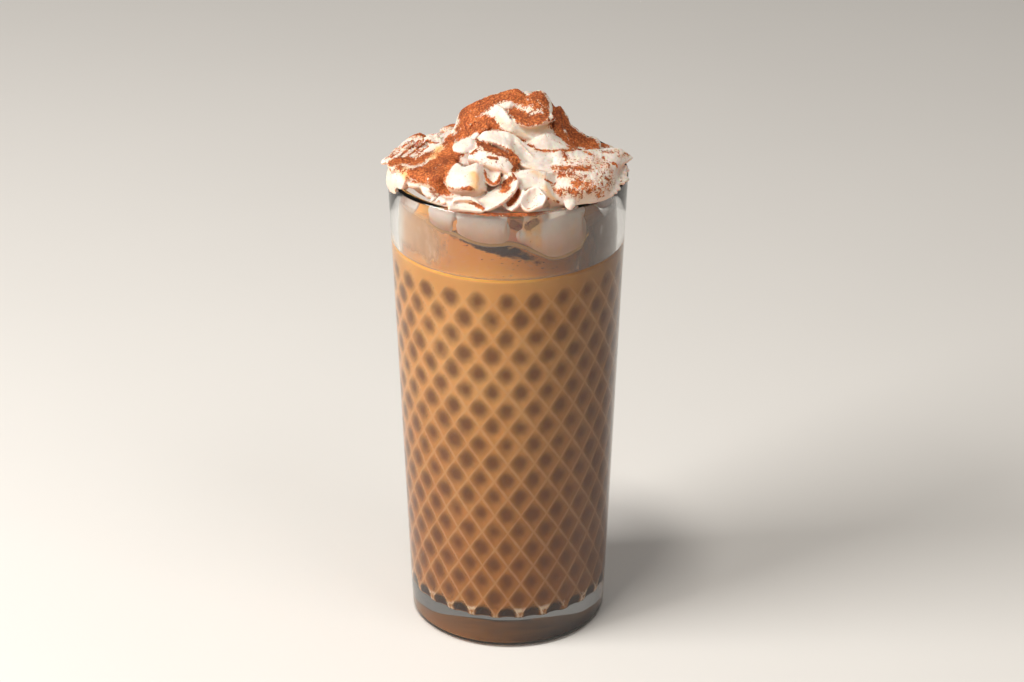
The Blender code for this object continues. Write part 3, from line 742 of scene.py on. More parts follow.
insideSheets = {
    "flapA": (3, 1.1, 0, 0,
        (-23.2, -18, 2, -20.7, -20.8, 1.3, -18.2, -23, 1.5, -15.7, -24.8, 1.5, -13.6, -26, 1.5),
        (-23.7, -26.9, -3.5, -21.5, -28.7, -3.4, -19.3, -30.2, -3.4, -17.5, -31.3, -3.3, -16.3, -32,
         -3.1),
        (-23.7, -26.8, -5.2, -21.5, -28.5, -5.4, -19.4, -30.1, -5.4, -17.5, -31.2, -5.6, -16.4,
         -31.3, -5.9),
        (-23.1, -26.8, -6.7, -21.2, -28.3, -7.7, -19.4, -29.6, -8.1, -17.5, -30.7, -8.1, -16.6,
         -30.9, -8.2)),
    "flapB": (3.4, 1.1, 0, 0,
        (-15.4, -25, 1.6, -12.4, -26.6, 1.6, -9.3, -27.8, 1.7, -6.3, -28.7, 1.7, -3.2, -29.2, 1.6,
         -0.2, -29.4, 1.6, 1.6, -29.3, 1.5),
        (-15.2, -32.2, -4, -13.5, -33.2, -3.3, -10.8, -34.2, -3, -7.8, -35, -2.8, -4.7, -35.5, -2.8,
         -1.7, -35.8, -2.6, -0.2, -35.9, -3.1),
        (-15.4, -31.8, -6, -13.5, -33, -6.1, -10.8, -34, -6.4, -7.8, -34.8, -6.3, -4.7, -35.4, -6.3,
         -1.7, -35.7, -6, 0.7, -35.7, -5.6),
        (-14.9, -31.7, -8, -13.3, -32.8, -8.9, -10.5, -33.7, -9.8, -7.5, -34.4, -10.3, -4.5, -35,
         -10.4, -1.7, -35.2, -10.1, 0.2, -35.3, -9.1)),
    "flapC": (3.6, 1.1, 0, 0,
        (6.2, -28.7, 1.5, 8.6, -28, 1.4, 11.3, -27, 1.2, 14.4, -25.6, 1.1, 17.4, -23.5, 0.9, 20.5,
         -20.9, 0.8, 23.4, -17.7, 0.6),
        (3.4, -35.3, -8.8, 5.8, -35.2, -6.8, 8.9, -34.7, -5.4, 12.2, -33.7, -3.9, 15.5, -32.3, -3.1,
         19.2, -30.3, -3, 22.9, -27.6, -3.2),
        (3.7, -35.2, -9.3, 6.1, -35.1, -8.9, 9.2, -34.4, -8.8, 12.5, -33.4, -8.6, 15.9, -31.9, -8.3,
         19.5, -29.8, -7.9, 23.6, -26.8, -7.5),
        (4, -35.2, -9.8, 6.1, -35, -10.9, 9.2, -34.3, -12.2, 12.5, -33.2, -13, 15.9, -31.7, -13,
         19.6, -29.6, -12.3, 23.6, -26.6, -11),
        (4.3, -35, -10.2, 6.8, -34.6, -11.9, 9.5, -33.8, -13.7, 12.6, -32.8, -15.5, 15.6, -31.4,
         -16, 19, -29.5, -15.3, 22.1, -27.3, -14.3)),
}
creamLook = {
    "voxel": 0.3,
    "soften": 4,
    "triangles": 192000,
    "reach": 0.05,  # into the tumbler
    "sink": 0.5,  # into the drink
    "cutBelow": 119.2,
    "cutColumns": 144,
    "sheetGrid": (72, 44),
    "bevel": 0.16,
    "plainGrid": (44, 32),
    "ribbedGrid": (120, 48),
    "edgeSharpness": 1.3,
    "farRoll": 12,
    "farLean": 0.8,
    "farRibs": (5, 0.5, 2.3),  # how many, depth, bluntness of the fold
    "crumbSeed": 6,
    "crumbDrift": 0.6,
    "crumbReach": (0.7, 1.5),
    "crumbTilt": 0.4,
    "crumbBend": (0.2, 0.9),
    "crumbWidth": (0.5, 0.95),
    "crumbRoll": 50,
    "swell": 0.35,
    "swellSize": 7.0,
    "crease": 0.17,
    "creaseSize": 2.1,
    "pale": (0.80, 0.74, 0.67),
    "hollow": (0.72, 0.635, 0.555),
    # painted warm shade where the cream faces sideways or down
    "shade": (0.80, 0.47, 0.31),
    # yellow stain, also used for painted warm shade
    "stainAndShade": (0.84, 0.50, 0.22),
    "stainAndShadeDeep": (0.42, 0.19, 0.045),
    "veil": (0.78, 0.44, 0.21),
    "bump": 0.35,
    "bumpDepth": 0.3,
}


def farFolds():
    look = creamLook
    folds = []
    for count, first, last, *spine, halfWidth, rise, depth in farRows:
        for index in range(count):
            angle = math.radians(first + (last - first) * index / (count - 1))
            swell = math.sin(angle) ** 2 * (1 + look["farLean"] * math.cos(angle))
            spots = [
                (radius * math.cos(angle), radius * math.sin(angle), height * swell)
                for radius, height in spine
            ]
            roll = look["farRoll"] if index % 2 else -look["farRoll"]
            folds.append((*spots, halfWidth, rise, depth, roll, *look["farRibs"]))
    return folds


def crumbs():
    # small lumps of cream scattered along the fringes, each lying its own way
    look = creamLook
    chance = random.Random(look["crumbSeed"])
    folds = []
    for size, count, *line in fringes:
        for spot in spline(np.array(line, float), count):
            drift = look["crumbDrift"]
            drift = [chance.uniform(-drift, drift) * size for axis in range(3)]
            spot = spot + drift * np.array((1, 1, 0.5))
            turn = chance.uniform(0, 2 * math.pi)
            reach = size * chance.uniform(*look["crumbReach"])
            tilt = chance.uniform(-look["crumbTilt"], look["crumbTilt"])
            step = np.array((math.cos(turn), math.sin(turn), tilt)) * reach
            bend = spot + (0, 0, size * chance.uniform(*look["crumbBend"]))
            width = size * chance.uniform(*look["crumbWidth"])
            roll = chance.uniform(-look["crumbRoll"], look["crumbRoll"])
            folds.append((spot - step, bend, spot + step, width, width * 0.7, width * 0.9, roll))
    return folds


def sphereGrid(sides, steps):
    # unit sphere: (lift, across, along) of each vert, and the faces as rows of indices
    turn = np.arange(sides) * 2 * math.pi / sides
    drop = np.arange(1, steps) * math.pi / steps
    lift = np.outer(np.sin(drop), np.cos(turn)).ravel()
    across = np.outer(np.sin(drop), np.sin(turn)).ravel()
    along = np.repeat(-np.cos(drop), sides)
    verts = np.column_stack((lift, across, along))
    verts = np.vstack((verts, (0, 0, -1), (0, 0, 1)))
    first, last = len(verts) - 2, len(verts) - 1
    faces = []
    for side in range(sides):
        beyond = (side + 1) % sides
        for step in range(steps - 2):
            low, high = step * sides, (step + 1) * sides
            faces.append((low + side, low + beyond, high + beyond, high + side))
        faces.append((first, beyond, side))
        top = (steps - 2) * sides
        faces.append((last, top + side, top + beyond))
    return verts, faces


def foldVerts(
        grid, start, bend, end, halfWidth, rise, depth, roll=0, ribs=0, ribDepth=0.3, blunt=2):
    # one fold of cream: a sphere drawn out along a curved spine, with ribs along its top
    rim = np.array((0, 0, tumblerLook["height"]))
    start, bend, end = (np.array(point, float) + rim for point in (start, bend, end))
    lift, across, along = grid.T
    size = np.hypot(lift, across)
    wide = (1 - np.abs(along) ** blunt).clip(0) ** (1 / blunt)
    wide = np.where(size > 1e-6, wide / np.maximum(size, 1e-6), 0)
    lift, across = lift * wide, across * wide
    size = np.maximum(np.hypot(lift, across), 1e-9)
    thickness = np.where(lift > 0, rise, depth)
    profile = np.sign(lift) * np.abs(lift / size) ** creamLook["edgeSharpness"]
    height = thickness * size * profile
    if ribs:
        rho = np.sqrt(across ** 2 + along ** 2).clip(0, 1)
        crest = 1 - np.abs(np.sin(math.pi * ribs * across / 2))
        height += (lift > 0) * ribDepth * (crest - 0.4) * (1 - rho ** 6)
    t = ((1 + along) / 2)[:, None]
    lower, upper = start + (bend - start) * t, bend + (end - bend) * t
    spine = upper - lower
    centre = lower + spine * t
    spine /= np.linalg.norm(spine, axis=1)[:, None]
    flat = np.cross(spine, (0.0, 0.0, 1.0))
    flat /= np.linalg.norm(flat, axis=1)[:, None]
    tilt = math.radians(roll)
    side = flat * math.cos(tilt) + np.cross(spine, flat) * math.sin(tilt)
    up = np.cross(side, spine)
    return (centre + side * (halfWidth * across)[:, None] + up * height[:, None]) * mm


def spline(points, count):
    # a smooth curve through the points along the first axis
    padded = np.concatenate((2 * points[:1] - points[1:2], points, 2 * points[-1:] - points[-2:-1]))
    place = np.linspace(0, len(points) - 1, count)
    index = np.minimum(place.astype(int), len(points) - 2)
    t = (place - index).reshape(-1, *[1] * (points.ndim - 1))
    before, first, second, after = (padded[index + step] for step in range(4))
    bent = 2 * before - 5 * first + 4 * second - after
    return 0.5 * (2 * first + (second - before) * t + bent * t ** 2
                  + (3 * first - before - 3 * second + after) * t ** 3)


def sheetSolid(depth, edge, ribs, ribDepth, *rows):
    # a sheet through rows of points, thin at its edges: verts and faces of a closed solid
    long, wide = creamLook["sheetGrid"]
    points = np.array(rows, float).reshape(len(rows), -1, 3)
    along = spline(np.swapaxes(points, 0, 1), long)
    front = spline(np.swapaxes(along, 0, 1), wide) + (0, 0, tumblerLook["height"])
    normals = np.cross(np.gradient(front, axis=0), np.gradient(front, axis=1))
    normals /= np.linalg.norm(normals, axis=2)[..., None] + 1e-9
    if normals.mean(axis=(0, 1)) @ (0, -1, 0.7) < 0:  # they face the viewer
        normals = -normals
    if ribs:
        place = np.linspace(0, ribs, long)
        crest = 1 - np.abs(np.sin(math.pi * (place + 0.15 * np.sin(place * 2.3))))
        fade = np.clip(np.sin(math.pi * np.linspace(0.02, 0.98, wide)) * 2, 0, 1)
        front += normals * (ribDepth * crest * fade[:, None])[..., None]
    down, along = (
        np.minimum(np.arange(size), size - 1 - np.arange(size)) / size for size in (wide, long))
    border = np.clip(np.minimum(down[:, None], along) / creamLook["bevel"], 0, 1)
    thickness = edge + (depth - edge) * np.sqrt(border * (2 - border))
    back = front - normals * thickness[..., None]
    verts = np.vstack((front.reshape(-1, 3), back.reshape(-1, 3))) * mm
    half = wide * long
    index = np.arange(half).reshape(wide, long)
    corners = index[:-1, :-1], index[:-1, 1:], index[1:, 1:], index[1:, :-1]
    faces = []
    for first, second, third, fourth in zip(*(corner.ravel().tolist() for corner in corners)):
        faces.append((first, second, third, fourth))
        faces.append((half + fourth, half + third, half + second, half + first))
    rim = np.concatenate((index[0, :], index[1:, -1], index[-1, -2::-1], index[-2:0:-1, 0]))
    for first, second in zip(rim.tolist(), np.roll(rim, -1).tolist()):
        faces.append((second, first, half + first, half + second))
    return verts, faces


def foldsMesh(folds, sheets, name):
    plain = sphereGrid(*creamLook["plainGrid"])
    ribbed = sphereGrid(*creamLook["ribbedGrid"])
    solids = [sheetSolid(*sheet) for sheet in sheets]
    for fold in folds:
        grid, corners = ribbed if any(fold[7:8]) else plain
        solids.append((foldVerts(grid, *fold), corners))
    faces, count = [], 0
    for verts, corners in solids:
        faces += [tuple(corner + count for corner in face) for face in corners]
        count += len(verts)
    mesh = bpy.data.meshes.new(name)
    mesh.from_pydata(np.vstack([verts for verts, corners in solids]).tolist(), [], faces)
    return mesh


def creamCutter():
    # the tumbler's wall and all below the drink's surface, a hair thinner than they are
    glass, look = tumblerLook, creamLook
    low, level = look["cutBelow"], coffeeLook["level"] - look["sink"]
    lip = glass["wall"] / 2
    profile = [(0, low, 0), (outerRadius(low) - look["reach"], low, 0)]
    profile += arcPoints(
        (glass["rimRadius"] - lip, glass["height"] - lip), lip - look["reach"], 0, 180, 10)
    profile += [(innerRadius(level) + look["reach"], level, 0), (0, level, 0)]
    return lathe("creamCutter", profile, look["cutColumns"])


def largestBody(mesh):
    # drops every loose scrap but the biggest body
    ends = np.empty(len(mesh.edges) * 2, dtype=np.int64)
    mesh.edges.foreach_get("vertices", ends)
    first, second = ends.reshape(-1, 2).T
    label = np.arange(len(mesh.vertices))
    while True:
        low = np.minimum(label[first], label[second])
        before = label.copy()
        np.minimum.at(label, first, low)
        np.minimum.at(label, second, low)
        label = label[label]
        if np.array_equal(before, label):
            break
    best = np.bincount(label).argmax()
    bm = bmesh.new()
    bm.from_mesh(mesh)
    bm.verts.ensure_lookup_table()
    loose = [bm.verts[index] for index in np.flatnonzero(label != best)]
    bmesh.ops.delete(bm, geom=loose, context="VERTS")
    bm.to_mesh(mesh)
    bm.free()


def vertValues(mesh, name):
    found = np.empty(len(mesh.vertices) * 3)
    mesh.vertices.foreach_get(name, found)
    return found.reshape(-1, 3)


def noiseAt(spots, size):
    return np.array([noise.noise(Vector(spot) / size) for spot in spots])


def roughen(mesh):
    # slow swells and small creases along the normals, above the rim only
    look = creamLook
    spots = vertValues(mesh, "co")
    slow = noiseAt(spots, look["swellSize"] * mm)
    fine = noiseAt(spots, look["creaseSize"] * mm)
    push = look["swell"] * slow - look["crease"] * (1 - np.abs(fine) * 4).clip(0, 1)
    push *= np.clip(spots[:, 2] / mm - tumblerLook["height"] - 1, 0, 1)
    spots += vertValues(mesh, "normal") * push[:, None] * mm
    mesh.vertices.foreach_set("co", spots.ravel())
    mesh.update()


# Where cocoa fell: radius, how thickly (negative keeps clear), yellow stain and painted warm shade,
# then the points of the stroke (x, y and height over the rim, again and again)
cocoaStrokes = (
    (2.2, 0.95, 0, -18.1, -6, 9.7, -16.3, -4.3, 11, -14.1, -4.5, 13.4, -11.6, -6.6, 14.9, -9.1,
     -7.5, 16.6, -6.7, -7.7, 18, -4.5, -9.6, 18.4, -3.6, -10.2, 18),
    (1.9, 1.05, 0, -14.2, 1.6, 17.3, -12.3, 1.8, 18.9, -9.8, 2.1, 20, -6.7, 1.7, 21.5, -3.3, 1.2,
     23.1, 0.1, 2, 24.1, 3.2, 1.6, 24.2, 4.7, 0.1, 23.5),
    (1.9, 0.85, 0, -13.8, -0.8, 16.2, -11.7, -2.1, 17.7, -9.2, -1.1, 19, -6.7, -0.7, 20.5, -3.9,
     -0.7, 22.5, -0.9, -0.5, 23.4, 2.2, -1.2, 23.6, 4.7, -2.2, 23),
    (1.6, 0.8, 0, -15.4, 0.1, 13.2, -13.5, -2.2, 15.8, -11.3, -3.6, 17, -8.5, -5.5, 17.7),
    (1.2, 1, 0, -7.3, -5.2, 18.6, -5.4, -8.6, 19, -4.2, -9.8, 17.8),
    (1.6, 0.8, 0, -19.1, -2.9, 9.4, -17.3, -1.7, 10.6),
    (2.2, 0.95, 0, 7.8, -0.1, 23.9, 9.9, -0.4, 24, 11.8, -1.7, 22.8),
    (1.9, 0.8, 0, 5.9, -3, 22.7, 8.1, -4.3, 22.5, 10.2, -5.1, 21.9, 12, -5.8, 20.8),
    (1.9, 1, 0, 2.2, -6.3, 20.7, 4.4, -7.9, 20, 6.8, -9.3, 19.6, 9.3, -9.2, 19.9, 11.1, -7.7, 20.6),
    (0.9, 0.8, 0, 1.6, -4.8, 21.4, 2.8, -5.4, 21),
    (0.8, 0.8, 0, 2.8, -9.8, 19.1, 5.3, -10.8, 18.7, 7.7, -11, 18.6),
    (0.9, -0.6, 0, 6.8, -4.7, 22),
    (0.9, -0.7, 0, 10.2, -6.2, 21.3),
    (1.9, -0.8, 0, -3.3, -5.7, 21.4),
    (1.6, -1, 0, -1.8, -8.9, 20.1, 0.1, -10.9, 18.3, 3.1, -11.2, 16.7, 7.4, -9.7, 15.5),
    (2.2, 1.15, 0, 15.3, 7.2, 16.4, 16.5, 5.2, 15.5, 17.8, 4.8, 13.7, 19, 3.8, 11.7, 20.3, 2.6, 9.9,
     21.1, -2.1, 9.1),
    (1.9, 1.15, 0, 14.2, -7.8, 19.6, 15.2, 0.8, 13.6, 16.8, -2.3, 12.2, 18.6, -6.1, 11.4, 20.4,
     -8.4, 10.6),
    (1.9, 0.95, 0, 21.5, 3.1, 9.7, 23.4, 2.8, 8.8, 24.9, 1.3, 8, 26.5, -0.2, 7.3),
    (1.6, 0.9, 0, 22.4, -0.7, 8.9, 24.5, -3.1, 8.2),
    (0.9, 0.6, 0, 25.5, 1.2, 8.1, 26.8, 0.4, 7.4, 28, -0.8, 6.9),
    (0.6, 0.35, 0, 13.6, -10.3, 14, 16, -10.9, 12.6, 18.5, -11.3, 11.5),
    (0.8, 0.7, 0, 19.1, -11.3, 11.2, 21.1, -5.4, 8.6),
    (0.6, 0.8, 0, -8.5, -10.4, 16.1, -7.3, -9.8, 16.5, -5.1, -9.1, 16.7, -3, -10.6, 17.1, -0.8,
     -11.6, 17, 1.3, -12.1, 16.3, 3.1, -11.8, 14.8, 4.7, -11.5, 13.4, 6.5, -14.1, 13.1, 8.6, -15.9,
     12.8, 11.4, -15.6, 12.1),
    (0.6, 0.75, 0, 11.4, -15.6, 12.1, 14.1, -15.1, 11.9, 16.9, -13.6, 11.3, 19.7, -12.2, 10.7, 22.3,
     -5.4, 8.1),
    (1.2, 1, 0, -8.8, -16.8, 15, -6.6, -18.1, 14.6, -4.2, -19.2, 14, -1.7, -19.5, 13.5, 0.4, -20.2,
     12.8, 1.9, -20.9, 11.8, 2.5, -21.9, 10.5),
    (0.9, 0.7, 0, -6.6, -19.7, 13.9, -4.2, -20.4, 13.5, -2, -21.2, 12.9, 0.1, -21.2, 12.2, 1.3,
     -22.1, 11.3),
    (0.8, 0.8, 0, 2.8, -22.5, 9.5, 1.9, -24.5, 8.7),
    (0.5, 1, 0, -5.7, -22.1, 12.4, -3.3, -22.5, 12.2),
    (0.9, 0.7, 0, -9, -19, 14.3, -10.3, -19.7, 13.2),
    (0.5, 0.9, 0, -17.5, -9.6, 9.8, -16.2, -12, 9.9, -14, -13.8, 10, -11.8, -19.5, 12.5, -10, -19.5,
     13.5, -8.9, -18.7, 14.5, -9.1, -15.8, 15.3),
    (2.2, -1, 0, -15.1, -17.8, 14.1, -12.1, -17.7, 14.7),
    (2.5, 1.1, 0, -19, -9.8, 9.2, -21.4, -13.2, 8, -23.8, -15.9, 7.1, -26.2, -17.6, 6.5, -29, -17.7,
     5.5),
    (2.5, 1.1, 0, -17.1, -14.1, 9.3, -18.8, -18.4, 8.4, -20.6, -22.4, 7.8, -21.8, -24.2, 5.9, -20.3,
     -24.2, 3.9),
    (2.2, 0.95, 0, -23.4, -7.7, 7.7, -25.8, -8.7, 6.8, -28.2, -10.5, 5.9),
    (1.9, 0.9, 0, -30.2, -8.3, 5.6, -32.6, -8.3, 5.6, -34.8, -8.7, 5.4),
    (1.6, 0.6, 0.5, -33.8, -11.7, 5, -31.2, -14.9, 5.3),
    (1.9, 1, 0, -23.7, -20, 6.8, -25.5, -21.4, 5.7, -28, -19.2, 5.1),
    (1.9, 0.95, 0, -21.8, -23.9, 3.5, -18.8, -24.4, 3.4, -16.9, -28.4, 4.1),
    (1.2, 0.95, 0, -16.9, -28.4, 4.1, -14.4, -29.8, 4.5, -12, -31.1, 5.7),
    (1.6, -0.55, 0.9, -23, -10.1, 7.7, -21.8, -6.9, 8.4, -20.9, -5.1, 8.6),
    (1.2, -0.3, 0.8, -32.1, -14.7, 4.6, -31.2, -16.2, 4.2),
    (1.2, -0.3, 0.6, -20.1, -17.1, 8.2, -18.8, -19.8, 8.4),
    (1.2, 0.8, 0, -18.6, 1.3, 9.7, -17.9, -3.5, 10),
    (0.5, 0.9, 0, -25.2, 3.6, 7.6, -23.6, 0.7, 8.1, -21.7, 0.5, 8),
    (1.2, 0.8, 0, -36.1, -7.7, 5),
    (0.9, 0.5, 0.3, -36.3, -11, 3.7),
    (1.2, 0.3, 0, -34.7, -13, 2.2),
    (0.5, 0.9, 0, -34.4, -15.2, -1.3, -33.6, -10.7, -3.1),
    (3.1, -1, 0, -15.3, -27.3, 8.2),
    (1.9, -1, 0, -11.4, -27.1, 9.7, -9.6, -25.7, 10.5),
    (1.2, 0.3, 0.75, -10.2, -27.9, 9.4, -9.3, -28.9, 7.9, -9.9, -30.4, 6.5),
    (0.9, 0.9, 0.4, -11.4, -31.1, 5.5, -10.8, -30.5, 4.6),
    (0.4, 0.9, 0, -7, -24, 8.8, -6.6, -26.4, 7.8, -5.7, -27.8, 6.8, -4.1, -28.3, 6.3, -2.6, -27.8,
     7.3, -2.3, -25.8, 7.9),
    (1.2, 1, 0.3, -0.8, -26.6, 5.6, 0.4, -27, 6.4, 1, -27.1, 7.1),
    (1.1, 0.95, 0.3, -1.4, -28.4, 4.4, 0.1, -29.2, 5.1),
    (0.4, 0.8, 0, 1.3, -26.3, 9.1, 2.5, -29.1, 8.3),
    (1.2, 0.95, 0.2, 2.8, -29, 4, 3.1, -30.3, 3.5, 2.2, -31.4, 2.4, 1, -32.7, 1.6),
    (1.2, -0.3, 0.5, 8.3, -25.9, 8.9, 10.4, -26.7, 8.3),
    (1.2, -0.3, 0.6, 11.3, -30.3, 5.9, 12.5, -31.6, 4.4, 14.3, -31.6, 2.5),
    (0.6, 0.8, 0, 12.2, -32.4, 3.1, 13.7, -32.1, 2.3, 15.2, -31.4, 1.7),
    (0.4, 0.8, 0, 11.6, -28.1, 7.5, 13.1, -27.3, 6.2, 14.6, -26.2, 5.8),
    (0.3, 0.5, 0.2, 6.1, -36.2, 1.5, 8.5, -35.5, 2.3, 10, -34.9, 3),
    (0.5, 0.9, 0.6, -12.9, -33.4, 2.8, -10.5, -34.1, 2.7, -8.6, -35.2, 2, -7.4, -36.1, 1.5),
    (1.6, 0.25, 0, -5.4, -23.3, 11.1, -0.8, -24.1, 10.5),
    (0.5, 0.2, 0.3, -23.4, -26.4, -3.7, -22.5, -27, -6.8, -20.9, -28.2, -7.6, -18.8, -29.6, -8,
     -16.6, -30.8, -7.8),
    (0.5, 0.2, 0.3, -15.9, -1.8, -17, -15.1, -31.7, -6.7, -13, -32.5, -8.8, -10.2, -33.5, -9.6,
     -7.2, -34.2, -10.1, -4.2, -34.7, -10.2, -1.5, -10.1, -21.6, 0.1, -14.7, -18.5),
    (0.5, 0.2, 0.3, 4.4, -14, -19.5, 6.8, -34.3, -11.4, 9.5, -33.5, -13.5, 12.6, -32.4, -15.2, 15.6,
     -31, -15.6, 19, -29.1, -14.8, 21.8, -27.2, -14),
    (2.5, 0.3, 0.1, -9.9, -33.7, -6.5, -3.8, -34.9, -6.6),
    (2.8, 0.36, 0, 13.5, -32.3, -10.4, 18.4, -29.7, -10.9),
    # wet cocoa with painted shade in the dark gap between two flaps
    (1.4, 0.4, 1.2, 1.3, -17.2, -12.4, 3.8, -17.7, -13.1, 6.1, -33.8, -5.1, 8.3, -33, -3.8),
    (0.9, 0.9, 0.95, -16, -30.2, -4.7, -15.9, -29.9, -4.9),
    # no cocoa, only painted warm shade: on the neck, under the curl and along the ribbon
    (1.9, 0, 0.42, 1, -12, 17.3, 4.4, -10.8, 16.2, 8.7, -8.9, 16.1, 12, -7.2, 17.4),
    (1.2, 0, 0.3, -3.3, -7.8, 20.3, -1.1, -10.9, 18.3),
    (1.2, 0, 0.2, -0.8, -18.5, 13.4, 3.7, -20.9, 11.1, 6.8, -21.9, 9.6),
    (1.2, 0, 0.25, 9.8, -15.9, 12.4, 14.5, -14.3, 11.7),
    (1.2, 0.3, 0, -24, 4.8, 8.3, -22.4, 4.2, 8.2),
    (2.5, 0.47, 0, -36.2, -3.3, 5.6, -33.5, -0.6, 6.5, -29.7, -0.2, 8.3, -26.1, 1.6, 8.9),
    (1.9, 0.4, 0, -33.9, -8, 5.8, -30.2, -5, 6.3, -27.2, -1.8, 6.6),
    (0.4, 0.8, 0, -35.8, -5.3, 5.7, -32.2, -1.4, 7.8, -29.8, 1.2, 8.7),
    (0.4, 0.8, 0, -33.9, -6.5, 5.9, -30.4, -0.9, 6.9, -27.9, 0.4, 8.7),
    (0.4, 0.8, 0, -32, -7.8, 5.7, -28.5, -1.6, 6.6, -26.1, 3.3, 6.9),
    (0.4, 0.8, 0, -29.9, -7.8, 5.8, -26.9, -3.8, 6.8, -24.8, 0.7, 7),
    (1.1, 0.6, 0.2, 17.2, -15.1, 10.7, 18.1, -16.4, 9.9),
    (1.6, 0.66, 0, 14.7, -20.9, 8.5, 17.7, -21.2, 8.3, 21.1, -20.8, 8.5, 24.5, -19.9, 7.9),
    (1.9, 0.6, 0, 16.5, -23.6, 7.3, 19.5, -24.6, 7.4, 22.5, -24.8, 7.1),
    (1.9, 0.64, 0, 20.7, -27.8, 6.4, 23.1, -28.5, 6, 24.9, -29.1, 5),
    (1.6, 0.6, 0, 15.8, -30.2, 4.8, 18.8, -30.3, 4.9, 21.9, -30.3, 3.6),
    (1.6, 0.52, 0, 24.9, -26.7, 6.3, 27.1, -27.3, 4.9, 28, -27.3, 3),
    (2.2, 0.47, 0, 27.1, -13.3, 8.6, 30.1, -15.4, 7.2, 31.9, -18.4, 4.8, 30.5, -23.7, 3.7),
    (1.2, 0.5, 0, 28.4, -7.2, 8.3, 30.9, -6.6, 7.9, 33.5, -5, 7.6),
    (0.8, 0.85, 0, 24, -10.2, 9.4, 25.3, -11.3, 9.2),
    (0.6, 0.8, 0, 29.3, -11.3, 8.2, 29.5, -12.1, 8),
    (0.5, 0.85, 0, 32.3, -13.1, 6.9, 33.5, -12.9, 5.8),
    (0.6, 0.85, 0, 29.9, -21.6, 5.5, 30.9, -21.8, 4.6),
    (1.2, 0.5, 0, 34.6, -8.2, 6.9, 37.2, -3.5, 6),
    (2.8, 0.37, 0, 19, -17.1, 9.6, 25.1, -17, 8.5, 29.7, -18, 6.6, 28, -26.3, 5.1, 21.9, -30.3,
     4.2),
    (0.9, 0.5, 0, 13.7, -27.5, 5.3, 14.6, -29.3, 4.8),
    # thin cocoa, with a faint stain that is painted warm shade, over the fin and the leaf
    (1.9, 0.26, 0.12, -4.8, -24.3, 7.3, -2.9, -26.9, 4.4, 0.7, -33.6, 4.6),
    (1.6, 0.26, 0.12, -0.5, -25.3, 7, 1.9, -24.5, 8.7),
    (1.6, 0.24, 0.12, 7.6, -32.5, 3.5, 9.7, -33, 4.4),
    (1.6, 0.26, 0, -10.2, -21.3, 11.3, -7.2, -22.9, 10.6, -4.8, -23.2, 11.4),
    (0.6, -0.95, 0, 12.1, 0.6, 23.3, 13, -0.8, 21.9, 13.5, -3.5, 20.6, 13.3, -8.3, 19.9),
)
cocoaLook = {
    "softness": 0.5,
    "haze": 0.1,
    "behind": 0.75,
    "patchSize": 11.0,
    "seed": 4,
    "grainSize": 0.3,
    "grainsPerMm2": 9.0,
    "grainTurn": 6.28,
    "grainLeast": (0.5, 0.5, 0.4),
    "grainMost": (1.3, 1.2, 1.0),
    "lipFrom": -33.0,
    "lipTo": 22.0,
    "lipAmount": 3.6,
    "lipArc": (35, 150, 5),  # across it, in degrees, and how many steps
    "lipSteps": 40,
    "lipFade": 6,  # steps at each end
    "dark": (0.19, 0.042, 0.010),
    "brown": (0.42, 0.096, 0.019),
    "orange": (0.66, 0.20, 0.052),
    "coverFrom": 0.39,
    "coverTo": 0.49,
}


def nearStroke(spots, points):
    # how far each spot is from the line through the points
    away = np.linalg.norm(spots - points[0], axis=1)
    for first, last in zip(points, points[1:]):
        step = last - first
        share = np.clip((spots - first) @ step / (step @ step), 0, 1)[:, None]
        away = np.minimum(away, np.linalg.norm(spots - first - share * step, axis=1))
    return away


def paintCocoaAndShade(cream):
    # attributes on the cream's verts: how much cocoa lies there, how much yellow stain and painted
    # warm shade it carries, and painted shade by how far the surface faces sideways or down
    look = cocoaLook
    spots = vertValues(cream.data, "co") / mm - (0, 0, tumblerLook["height"])
    up = vertValues(cream.data, "normal")[:, 2]
    cocoa, clear, stainAndShade = np.zeros((3, len(spots)))
    for radius, amount, yellow, *points in cocoaStrokes:
        away = nearStroke(spots, np.array(points).reshape(-1, 3))
        near = np.exp(-(away / radius) ** 2.4 * look["softness"])
        if amount > 0:
            cocoa = np.maximum(cocoa, near * amount)
        else:
            clear = np.maximum(clear, -amount * near)
        stainAndShade = np.maximum(stainAndShade, near * yellow)
    back = np.clip((spots[:, 1] - 4) / 5, 0, 1)
    above = np.clip((spots[:, 2] + 0.5) / 1.5, 0, 1)
    patches = np.clip(noiseAt(spots, look["patchSize"]) * 2.2 + 0.75, 0, 1.2)
    cocoa = np.maximum(cocoa * (1 - clear), look["behind"] * back * above * patches)
    cocoa = np.maximum(cocoa, look["haze"] * above) * np.clip(up * 3 + 1.3, 0, 1)
    values = {"cocoa": np.clip(cocoa, 0, 1), "stainAndShade": stainAndShade, "shade": np.clip(0.6 - up, 0, 1)}
    for name, amounts in values.items():
        layer = cream.data.attributes.new(name, "FLOAT", "POINT")
        layer.data.foreach_set("value", amounts.astype(np.float32))


def cocoaColour(net, place):
    look = cocoaLook
    tone = net.noise(place, 1500.0, 2.0, 0.7)
    wide = net.noise(place, 140.0, 3.0, 0.6)
    colour = net.mix(
        net.smooth(tone * 0.6 + wide * 0.4, 0.38, 0.56), look["dark"], look["brown"])
    return net.mix(net.smooth(tone * 0.65 + wide * 0.35, 0.5, 0.62), colour, look["orange"])


